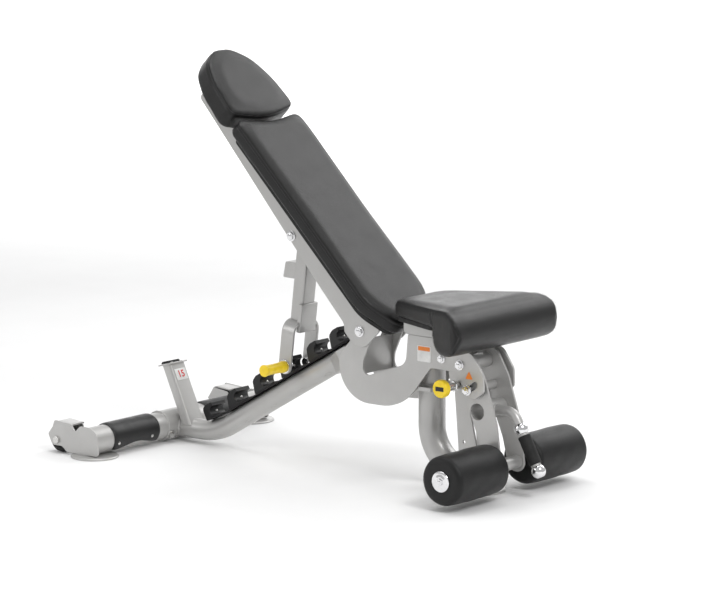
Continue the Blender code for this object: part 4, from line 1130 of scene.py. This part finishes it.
def seat_pad():
    """Wedge pad with a roll at its front: its side outline, carried across the width and drawn in round both ends.

    A row at angle t round the end lies edge * (1 - sin t) inside the outline and edge * (1 - cos t) short of the side.
    """
    profile = resampled(fillet([
        (SEAT_REAR, 0.4655, 0.010), (SEAT_REAR, 0.4295, 0.004), (0.9945, 0.4295, 0.006), (0.9945, 0.3675, 0.044),
        (SEAT_FRONT, 0.3675, 0.049), (SEAT_FRONT, 0.4785, 0.058),
    ]), 0.0045)
    tangent = unit(np.roll(profile, -1, 0) - np.roll(profile, 1, 0))
    inwards = np.stack([-tangent[:, 1], tangent[:, 0]], 1)
    edge, heart = 0.007, np.array((1.035, 0.445))
    turns = np.linspace(0, np.pi / 2, 5)
    pull, short = edge * (1 - np.sin(turns)), edge * (1 - np.cos(turns))
    rows = []
    for side in (-1, 1):
        rounds = []
        for inset, back in zip(pull, short):
            ring = profile + inwards * inset
            rounds.append(np.stack([ring[:, 0], side * (seat_width(ring[:, 0]) - back), ring[:, 1]], 1))
        flat = rounds[0]
        middle = np.array((heart[0], side * float(seat_width(heart[0])), heart[1]))
        panel = [middle + (flat - middle) * share for share in (0.0, 0.25, 0.5, 0.75)]
        for row in panel:
            row[:, 1] = side * seat_width(row[:, 0])
        rows.append(panel + rounds)
    across = [rows[0][-1] + (rows[1][-1] - rows[0][-1]) * share for share in np.linspace(0, 1, 50)[1:-1]]
    grid = np.stack(rows[0] + across + rows[1][::-1])
    made = plump("seat_pad_cushion", (grid, False, True), 0.4330, 0.985)
    lines = []
    closed = np.vstack([profile, profile[:1]])
    for side in (-1, 1):
        lines.append(np.stack([closed[:, 0], side * (seat_width(closed[:, 0]) + 0.003), closed[:, 1]], 1))
        down = np.linspace(0, 1, 30)
        x = 0.988 + 0.008 * down**2
        lines.append(np.stack([x, side * (seat_width(x) + 0.004), 0.470 - 0.036 * down], 1))
    laid = sewn(made, lines, FLOOR)
    covered(made, VINYL, "frame", ["seat_pad"])
    stitches("seat_pad_stitching", laid, FLOOR, "frame")


def build_back():
    """Rails, tie, board and the two pads, drawn lying flat about the back's pivot."""
    outline = fillet([
        (0.040, 0.0525, 0.010), (-0.598, 0.0525, 0.0), (-0.606, 0.0487, 0.0), (-0.765, 0.0487, 0.012),
        (-0.765, 0.014, 0.012), (-0.150, -0.0225, 0.200), (-0.046, -0.026, 0.030), (-0.030, -0.040, 0.014),
        (0.040, -0.040, 0.040),
    ])
    holes = [circle((0, 0), BOLT_HOLE), circle((STRUT_X, STRUT_Z), BOLT_HOLE)]
    for word, side in sides():
        plate(f"rail_{word}", [outline, *holes], *span(side, *RAIL_FACES), BACK, PAINT, "back",
              [f"back_rail_{word}"], edge=0.0013)
    piece("stop_tie_bar", [block((-0.742, -INSIDE_RAILS, 0.0236), (-0.702, INSIDE_RAILS, 0.0330))], BACK, PAINT,
          "back", ["stop_tie"])
    piece("back_pivot_bolt_set", [bolt_shank((0, 0), 0.073), *bolt_pair((0, 0), 0.0723, 0.0112, 0.0142, 0.0055)],
          BACK, CHROME, "back_shaft", ["back_pivot_bolt"])
    plan = fillet(mirrored([(-0.590, 0.112, 0.015), (-0.010, 0.112, 0.080), (0.058, 0.060, 0.040)]))
    plate("back_board_panel", [plan], BOARD_LOW, 0.0645, BACK, BOARD, "back", ["back_board"], False, 0.0015)
    clips, screws = [], []
    for x in (-0.560, -0.330, -0.090):
        for _, side in sides():
            low, high = span(side, 0.050, INSIDE_RAILS)
            clips.append(block((x - 0.016, low, 0.0495), (x + 0.016, high, 0.0525), 0.0008))
            screws.append(hexagon(0.0065, 0.0450, 0.0495, (x, 0.0), "Z", 0.0008, side * 0.056))
    piece("back_board_clips", clips, BACK, PAINT, "back")
    piece("back_board_screws", screws, BACK, ZINC, "back")
    back_pad()
    head_pad()


def back_pad():
    """Long flat pad with boxed sides, its upper edge hollowed to meet the head pad."""
    lying_pad("back_pad", [(-0.600, 0.0, 0.300), (-0.6215, 0.1235, 0.020), (-0.015, 0.1235, 0.090),
                           (0.0705, 0.061, 0.050)], (0.0650, 0.1040), (0.004, 0.007), 26, 0.070, 0.0955)


def head_pad():
    """Rounded head pad, thicker than the back pad, with its seam near its face."""
    lying_pad("head_pad", [(-0.6055, 0.0, 0.300), (-0.6340, 0.1245, 0.024), (-0.742, 0.1130, 0.150),
                           (-0.806, 0.0840, 0.090), (-0.8435, 0.0330, 0.060)],
              (0.0492, 0.1085), (0.006, 0.008), 20, 0.055, 0.1010)


def lying_pad(node_name, half, faces, rounds, rings, keep_under, seam_at):
    """A pad of the back, filled between its two faces, with one seam round its side."""
    outline = fillet(mirrored(half))
    made = plump(f"{node_name}_cushion", pad_grid(resampled(outline, 0.0045), *faces, 0.003, *rounds, rings),
                 keep_under)
    seam = resampled(outline, 0.0035)
    line = np.hstack([seam + unit(seam - seam.mean(0)) * 0.004, np.full((len(seam), 1), seam_at)])
    laid = sewn(made, [np.vstack([line, line[:1]])], BACK)
    covered(made, VINYL, "back", [node_name])
    stitches(f"{node_name}_stitching", laid, BACK, "back")


# Strut

def build_strut():
    """Box tube, block, fork legs, bumper, pivot pin, and the foot bar's halves with their grips."""
    body = swept([(0.0, 0.0215), (0.0, -0.226)], bar_section(0.025, 0.019, 0.006))
    collar = block((0.0100, -0.0315, -0.256), (0.0235, 0.0315, -0.181), 0.0025)
    piece("strut_tube", [body, collar], STRUT, PAINT, "strut", ["strut"])
    outline = fillet([(-0.015, -0.080, 0), (-0.052, -0.084, 0.004), (-0.056, -0.126, 0.004), (-0.015, -0.122, 0)])
    plate("strut_bumper_bracket", [outline], -0.022, 0.022, STRUT, PAINT, "strut")
    bumper = turned([(0, -0.0557), (0.0100, -0.0557), (0.0096, -0.0610), (0.0080, -0.0640), (0, -0.0640)],
                    (0.0, -0.106), "X", 40, 0.0010)
    piece("strut_bumper_button", [bumper], STRUT, RUBBER, "strut", ["strut_bumper"])
    for word, side in sides():
        fork_leg(word, side)
        foot_bar(word, side)
    shoulder = [(0, 0.0745), (0.0075, 0.0745), (0.0075, INSIDE_RAILS), (0.013, INSIDE_RAILS), (0.013, 0.0254),
                (BOLT_SHANK, 0.0254)]
    profile = shoulder + [(r, -y) for r, y in reversed(shoulder)]
    piece("strut_pin_sleeve", [turned(profile, (0, 0), soft=0.0008)], STRUT, ZINC, "strut_shaft", ["strut_pivot_pin"])
    piece("strut_pin_heads", bolt_pair((0, 0), 0.0723, 0.0115, 0.0140, 0.0050), STRUT, CHROME, "strut_shaft")


def fork_leg(word, side):
    """Flat strap from under the tube, over a round shoulder and down to a half-round foot."""
    shoulder = arc((0.0185, -0.2580), 0.0290, 90, 0, 9)
    centre = np.vstack([[(0.0, -0.2290)], shoulder, [(0.0475, -STRUT_LONG - 0.0199)]])
    long = travel(centre)[-1]
    line = sampled(centre, np.unique(np.concatenate([
        np.linspace(0, long - 0.021, 30), long - 0.020 + 0.020 * np.sin(np.linspace(0, np.pi / 2, 14))])))
    drop = np.clip((line[:, 1] + STRUT_LONG) / -0.0199, 0, 1)
    half = 0.020 * np.sqrt(np.clip(1 - drop**2, 0.0004, 1))
    tangent = unit(np.gradient(line, axis=0))
    normal = np.stack([-tangent[:, 1], tangent[:, 0]], 1)
    section = bar_section(1.0, 1.0, 0.22)
    yz = line[:, None] + section[None, :, 1:2] * 0.0035 * normal[:, None]
    x = section[None, :, 0] * half[:, None] - 0.001
    grid = capped(np.stack([x, side * yz[..., 0], yz[..., 1]], -1))
    piece(f"fork_leg_{word}_bar", [(grid, False, True)], STRUT, PAINT, "strut")


def foot_bar(word, side):
    """Chrome half bar with its washer, and the yellow grip, waisted and flared at both ends."""
    foot_at = (0.0, -STRUT_LONG)
    ends = [(0, 0.0290), (0.0105, 0.0290), (0.0110, 0.0300), (0.0110, 0.0514), (0.018, 0.0516), (0.018, 0.0545),
            (0.0095, 0.0547), (0.0095, 0.128), (0, 0.128)]
    piece(f"foot_bar_{word}_half", [turned(flipped(ends[::-1], side), foot_at, soft=0.0006)], STRUT, CHROME, "strut",
          [f"foot_bar_{word}"])
    grip = [(0, 0.136), (0.0110, 0.1358), (0.0150, 0.1335), (0.0155, 0.1300), (0.0138, 0.1220), (0.0132, 0.0980),
            (0.0136, 0.0740), (0.0152, 0.0640), (0.0155, 0.0590), (0.0150, 0.0552), (0.0098, 0.0548)]
    piece(f"foot_grip_{word}_sleeve", [turned(flipped(grip, side), foot_at, soft=0.0020)], STRUT, YELLOW, "strut",
          [f"foot_grip_{word}"])


# Leg holder

def build_leg_holder():
    """Leg plates, the tubes between them, the carry handle, and the stop bolt."""
    outline = fillet([
        (-0.030, 0.031, 0.028), (0.030, 0.031, 0.028), (0.066, -0.030, 0.050), (0.103, -0.140, 0.100),
        (0.121, -0.272, 0.024), (0.071, -0.272, 0.024), (0.050, -0.190, 0.100), (0.004, -0.080, 0.060),
        (-0.030, -0.030, 0.020),
    ])
    holes = [circle((0, 0), BOLT_HOLE), circle(STOP_AT, BOLT_HOLE), circle(RECEIVER_AT, 0.0205),
             circle(AXLE_AT, 0.0085)]
    for word, side in sides():
        plate(f"leg_side_{word}", [outline, *holes], *span(side, *LEG_FACES), LEG, PAINT, "leg",
              [f"leg_plate_{word}"], edge=0.0013)
    for name, centre, outer, inner in (("pivot_tube", (0, 0), 0.019, 0.0081), ("stop_tube", STOP_AT, 0.0115, 0.0081),
                                       ("axle_tube", AXLE_AT, 0.0165, 0.0085)):
        ring = [(outer, INSIDE_LEG), (outer, -INSIDE_LEG), (inner, -INSIDE_LEG), (inner, INSIDE_LEG)]
        piece(f"{name}_sleeve", [turned(ring, centre, closed=True)], LEG, PAINT, "leg", [name])
    ring = [(0.024, INSIDE_LEG), (0.024, -INSIDE_LEG), (0.0205, -INSIDE_LEG), (0.0205, INSIDE_LEG)]
    end = at((*HANDLE_BEND, HANDLE[2]), 0, -(HANDLE_LONG - 0.01))
    route = divided(bent([(0.066, -0.1125), HANDLE_BEND, end], 0.036, 6), 4, 12)
    t = full_turn(48)
    y, z = 0.0128 * np.cos(t), -0.1125 + 0.0128 * np.sin(t)
    x = RECEIVER_AT[0] + np.sqrt(0.0241**2 - (z - RECEIVER_AT[1]) ** 2)
    piece("receiver_tube", [turned(ring, RECEIVER_AT, closed=True), swept(route, ring_section(0.0125)),
                            bead(np.stack([x, y, z], 1), 0.0024)], LEG, PAINT, "leg", ["receiver_handle"])
    balls = []
    for low in (0.046, HANDLE_LONG - 0.018):
        t = np.radians(np.linspace(62, -62, 14))
        profile = np.stack([0.018 * np.cos(t), -low + 0.018 * np.sin(t)], 1)
        profile = np.vstack([[(0, profile[0, 1])], profile, [(0, profile[-1, 1])]])
        balls.append(turned(profile, (0, 0), "Z", 56, 0.0008))
    piece("handle_end_balls", balls, HANDLE, CHROME, "leg")
    grip = [(0.0125, -0.0642), (0.0148, -0.0640), (0.0160, -0.0660), (0.0157, -0.0760), (0.0160, -0.0860),
            (0.0160, -0.1180), (0.0157, -0.1280), (0.0160, -0.1380), (0.0148, -0.1400), (0.0125, -0.1398)]
    piece("handle_grip_sleeve", [turned(grip, (0, 0), "Z", 56, 0.0010)], HANDLE, RUBBER, "leg", ["handle_grip"])
    piece("leg_stop_bolt_set", [bolt_shank(STOP_AT, 0.066), *bolt_pair(STOP_AT, 0.0653, 0.0108, 0.0130, 0.0065)],
          LEG, CHROME, "leg", ["leg_stop_bolt"])


def build_rollers():
    """Axle with its spacers, cupped washers and end bolts, and the two foam rollers."""
    half = [(0, 0.2660), (0.0080, 0.2660), (0.0080, 0.0617), (0.0140, 0.0617), (0.0140, 0.0503), (0.0080, 0.0503)]
    axle = turned(half + [(r, -y) for r, y in reversed(half)], AXLE_AT, soft=0.0006)
    parts = [axle]
    for _, side in sides():
        cup = [(0, 0.2623), (0.0255, 0.2623), (0.0260, 0.2632), (0.0252, 0.2645), (0.0180, 0.2652), (0.0120, 0.2665),
               (0, 0.2665)]
        parts.append(turned(flipped(cup[::-1], side), AXLE_AT, soft=0.0005))
        parts += bolt_head(AXLE_AT, side, 0.2662, 0.0095, 0, 0.0040)
    piece("roller_axle_set", parts, LEG, CHROME, "leg", ["roller_axle"])
    for word, side in sides():
        foam_roller(word, side)


def foam_roller(word, side):
    """Crowned foam cylinder, its skin drawn in round each end and dished under the washer.

    Radius = R - 0.0015 * (2 * along - 1)^4, with a soft unevenness of a few tenths of a millimetre round and along it.
    """
    radius = bpy.context.scene.bench_sizes.roller_radius - 0.0004
    low, high, soft = 0.062, 0.262, 0.014
    turns = np.linspace(0, np.pi / 2, 9)
    s = np.linspace(0, 1, 34)[1:-1]
    crown = radius - 0.0015 * (2 * s - 1) ** 4
    end = radius - 0.0015
    face = np.array([(0.0084, 0.0016), (0.020, 0.0014), (0.028, 0.0004), (0.038, 0.0), (end - soft, 0.0)])
    first = np.stack([end - soft + soft * np.sin(turns), low + soft - soft * np.cos(turns)], 1)
    body = np.stack([crown, low + soft + (high - low - 2 * soft) * s], 1)
    last = np.stack([end - soft + soft * np.cos(turns), high - soft + soft * np.sin(turns)], 1)
    inner = np.stack([face[:, 0], low + face[:, 1]], 1)
    outer = np.stack([face[::-1, 0], high - face[::-1, 1]], 1)
    profile = np.vstack([inner, first, body, last, outer])
    grid, wrap, _ = turned(flipped(profile, side), AXLE_AT, sides=96, soft=0, closed=True)
    t = full_turn(96)[:, None]
    x, z = grid[..., 0] - AXLE_AT[0], grid[..., 2] - AXLE_AT[1]
    r = np.hypot(x, z)
    wave = 0.00035 * np.sin(3 * t + 40 * grid[..., 1]) + 0.0002 * np.sin(7 * t - 95 * grid[..., 1])
    scale = 1 + wave * np.clip((r - 0.03) / 0.03, 0, 1) / np.maximum(r, 1e-6)
    grid[..., 0], grid[..., 2] = AXLE_AT[0] + x * scale, AXLE_AT[1] + z * scale
    made = piece(f"foam_roller_{word}_skin", [(grid, wrap, True)], LEG, FOAM, f"roller_{word}",
                 [f"foam_roller_{word}"], 60.0)


# Stage

def build_stage():
    """Pale floor that curves up behind, soft lights, and the camera."""
    s = np.linspace(0, 1, 40)
    across = np.linspace(-14, 14, 3)
    t = np.clip((s - 0.55) / 0.25, 0, 1) * np.pi / 2
    depth = np.where(s < 0.55, -14 + s / 0.55 * 25.5, 11.5 + 3 * np.sin(t))
    depth = np.where(s > 0.8, 14.5, depth)
    height = np.where(s < 0.55, 0, 3 * (1 - np.cos(t))) + np.clip((s - 0.8) / 0.2, 0, 1) * 10
    away = np.array((-math.sin(CAMERA_TURN), math.cos(CAMERA_TURN)))
    right = np.array((math.cos(CAMERA_TURN), math.sin(CAMERA_TURN)))
    xy = across[None, :, None] * right + depth[:, None, None] * away
    grid = np.concatenate([xy, np.broadcast_to(height[:, None, None], (40, 3, 1))], -1)
    points, faces = joined([(grid, False, False)])
    mesh = bpy.data.meshes.new("floor")
    mesh.from_pydata(points.tolist(), [], faces[:, ::-1].tolist())
    mesh.shade_smooth()
    floor = bpy.data.objects.new("floor", mesh)
    bpy.context.scene.collection.objects.link(floor)
    tree, shader = finish("floor_paint")
    patches = use(tree, "mottle", Size=3.0)
    dressed(tree, shader, mixed(tree, patches.outputs["Mask"], (0.90, 0.90, 0.90), (0.92, 0.92, 0.92)),
            ranged(tree, patches.outputs["Mask"], 0.7, 0.8))
    mesh.materials.append(bpy.data.materials["floor_paint"])

    world = bpy.data.worlds.new("studio")
    bpy.context.scene.world = world
    bpy.context.scene.view_settings.view_transform = "Standard"
    world.use_nodes = True
    world.node_tree.nodes["Background"].inputs["Color"].default_value = (1.0, 1.0, 1.0, 1.0)
    world.node_tree.nodes["Background"].inputs["Strength"].default_value = 0.52
    for name, place, aim, size, power in (
        ("key", (3.4, -1.0, 3.4), (0.0, 0.0, 0.4), 1.4, 70.0),
        ("side", (-2.6, -4.0, 2.4), (0.0, 0.0, 0.3), 2.2, 40.0),
        ("back", (0.6, 3.6, 3.2), (0.0, 0.0, 0.5), 3.0, 70.0),
        ("top", (-0.6, 0.2, 4.2), (0.0, 0.0, 0.3), 2.4, 60.0),
        ("wall", (-4.2, 5.4, 5.5), (-8.2, 10.4, 0.8), 4.0, 700.0),
    ):
        light = bpy.data.lights.new(name, "AREA")
        light.size, light.energy = size, power
        lamp = bpy.data.objects.new(name, light)
        bpy.context.scene.collection.objects.link(lamp)
        lamp.location = place
        aim_at(lamp, aim)

    camera = bpy.data.cameras.new("camera")
    camera.lens, camera.sensor_width = CAMERA_LENS, 36.0
    camera.clip_end = 60.0
    viewer = bpy.data.objects.new("camera", camera)
    bpy.context.scene.collection.objects.link(viewer)
    flat = CAMERA_DISTANCE * math.cos(CAMERA_LIFT)
    viewer.location = np.add(CAMERA_TARGET, (math.sin(CAMERA_TURN) * flat, -math.cos(CAMERA_TURN) * flat,
                                             CAMERA_DISTANCE * math.sin(CAMERA_LIFT)))
    aim_at(viewer, CAMERA_TARGET)
    bpy.context.scene.camera = viewer


def aim_at(thing, target):
    """Turns a light or camera to look at a point, with its top upwards."""
    thing.rotation_euler = (Vector(target) - thing.location).to_track_quat("-Z", "Y").to_euler()


# Operators, panel and registration

def operator(suffix, label, build):
    """An operator class that builds one group of pieces."""
    def execute(self, context):
        build()
        return {"FINISHED"}

    return type(f"BENCH_OT_{suffix}", (bpy.types.Operator,), {
        "__doc__": build.__doc__, "bl_idname": f"bench.{suffix}", "bl_label": label,
        "bl_options": {"REGISTER", "UNDO"}, "execute": execute,
    })


def build_finishes():
    """The shared effects and every finish."""
    make_effects()
    make_finishes()


STEPS = (
    operator("finishes", "Finishes", build_finishes),
    operator("stage", "Stage", build_stage),
    operator("rear_base", "Rear base", build_rear_base),
    operator("ladder", "Ladder and rear post", build_ladder),
    operator("yoke", "Yoke and front post", build_yoke),
    operator("seat", "Seat", build_seat),
    operator("back", "Back", build_back),
    operator("strut", "Strut", build_strut),
    operator("leg_holder", "Leg holder", build_leg_holder),
    operator("rollers", "Foam rollers", build_rollers),
)


class BENCH_PT_build(bpy.types.Panel):
    """Lists the bench's sizes, colours and building steps in the sidebar."""

    bl_label = "Weight bench"
    bl_idname = "BENCH_PT_build"
    bl_space_type = "VIEW_3D"
    bl_region_type = "UI"
    bl_category = "Bench"

    def draw(self, context):
        for group in (context.scene.bench_sizes, context.scene.bench_colours):
            for key in group.__annotations__:
                self.layout.prop(group, key)
        for step in STEPS:
            self.layout.operator(step.bl_idname)


CLASSES = (BenchSizes, BenchColours, *STEPS, BENCH_PT_build)


def register():
    """Registers the classes and hangs the settings on the scene."""
    for item in CLASSES:
        bpy.utils.register_class(item)
    bpy.types.Scene.bench_sizes = bpy.props.PointerProperty(type=BenchSizes)
    bpy.types.Scene.bench_colours = bpy.props.PointerProperty(type=BenchColours)


def unregister():
    """Takes the settings and the classes away again."""
    del bpy.types.Scene.bench_colours
    del bpy.types.Scene.bench_sizes
    for item in reversed(CLASSES):
        bpy.utils.unregister_class(item)


def main():
    """Builds everything in order and writes both boxes."""
    register()
    for step in STEPS:
        getattr(bpy.ops.bench, step.bl_idname.split(".")[1])()


if __name__ == "__main__":
    main()
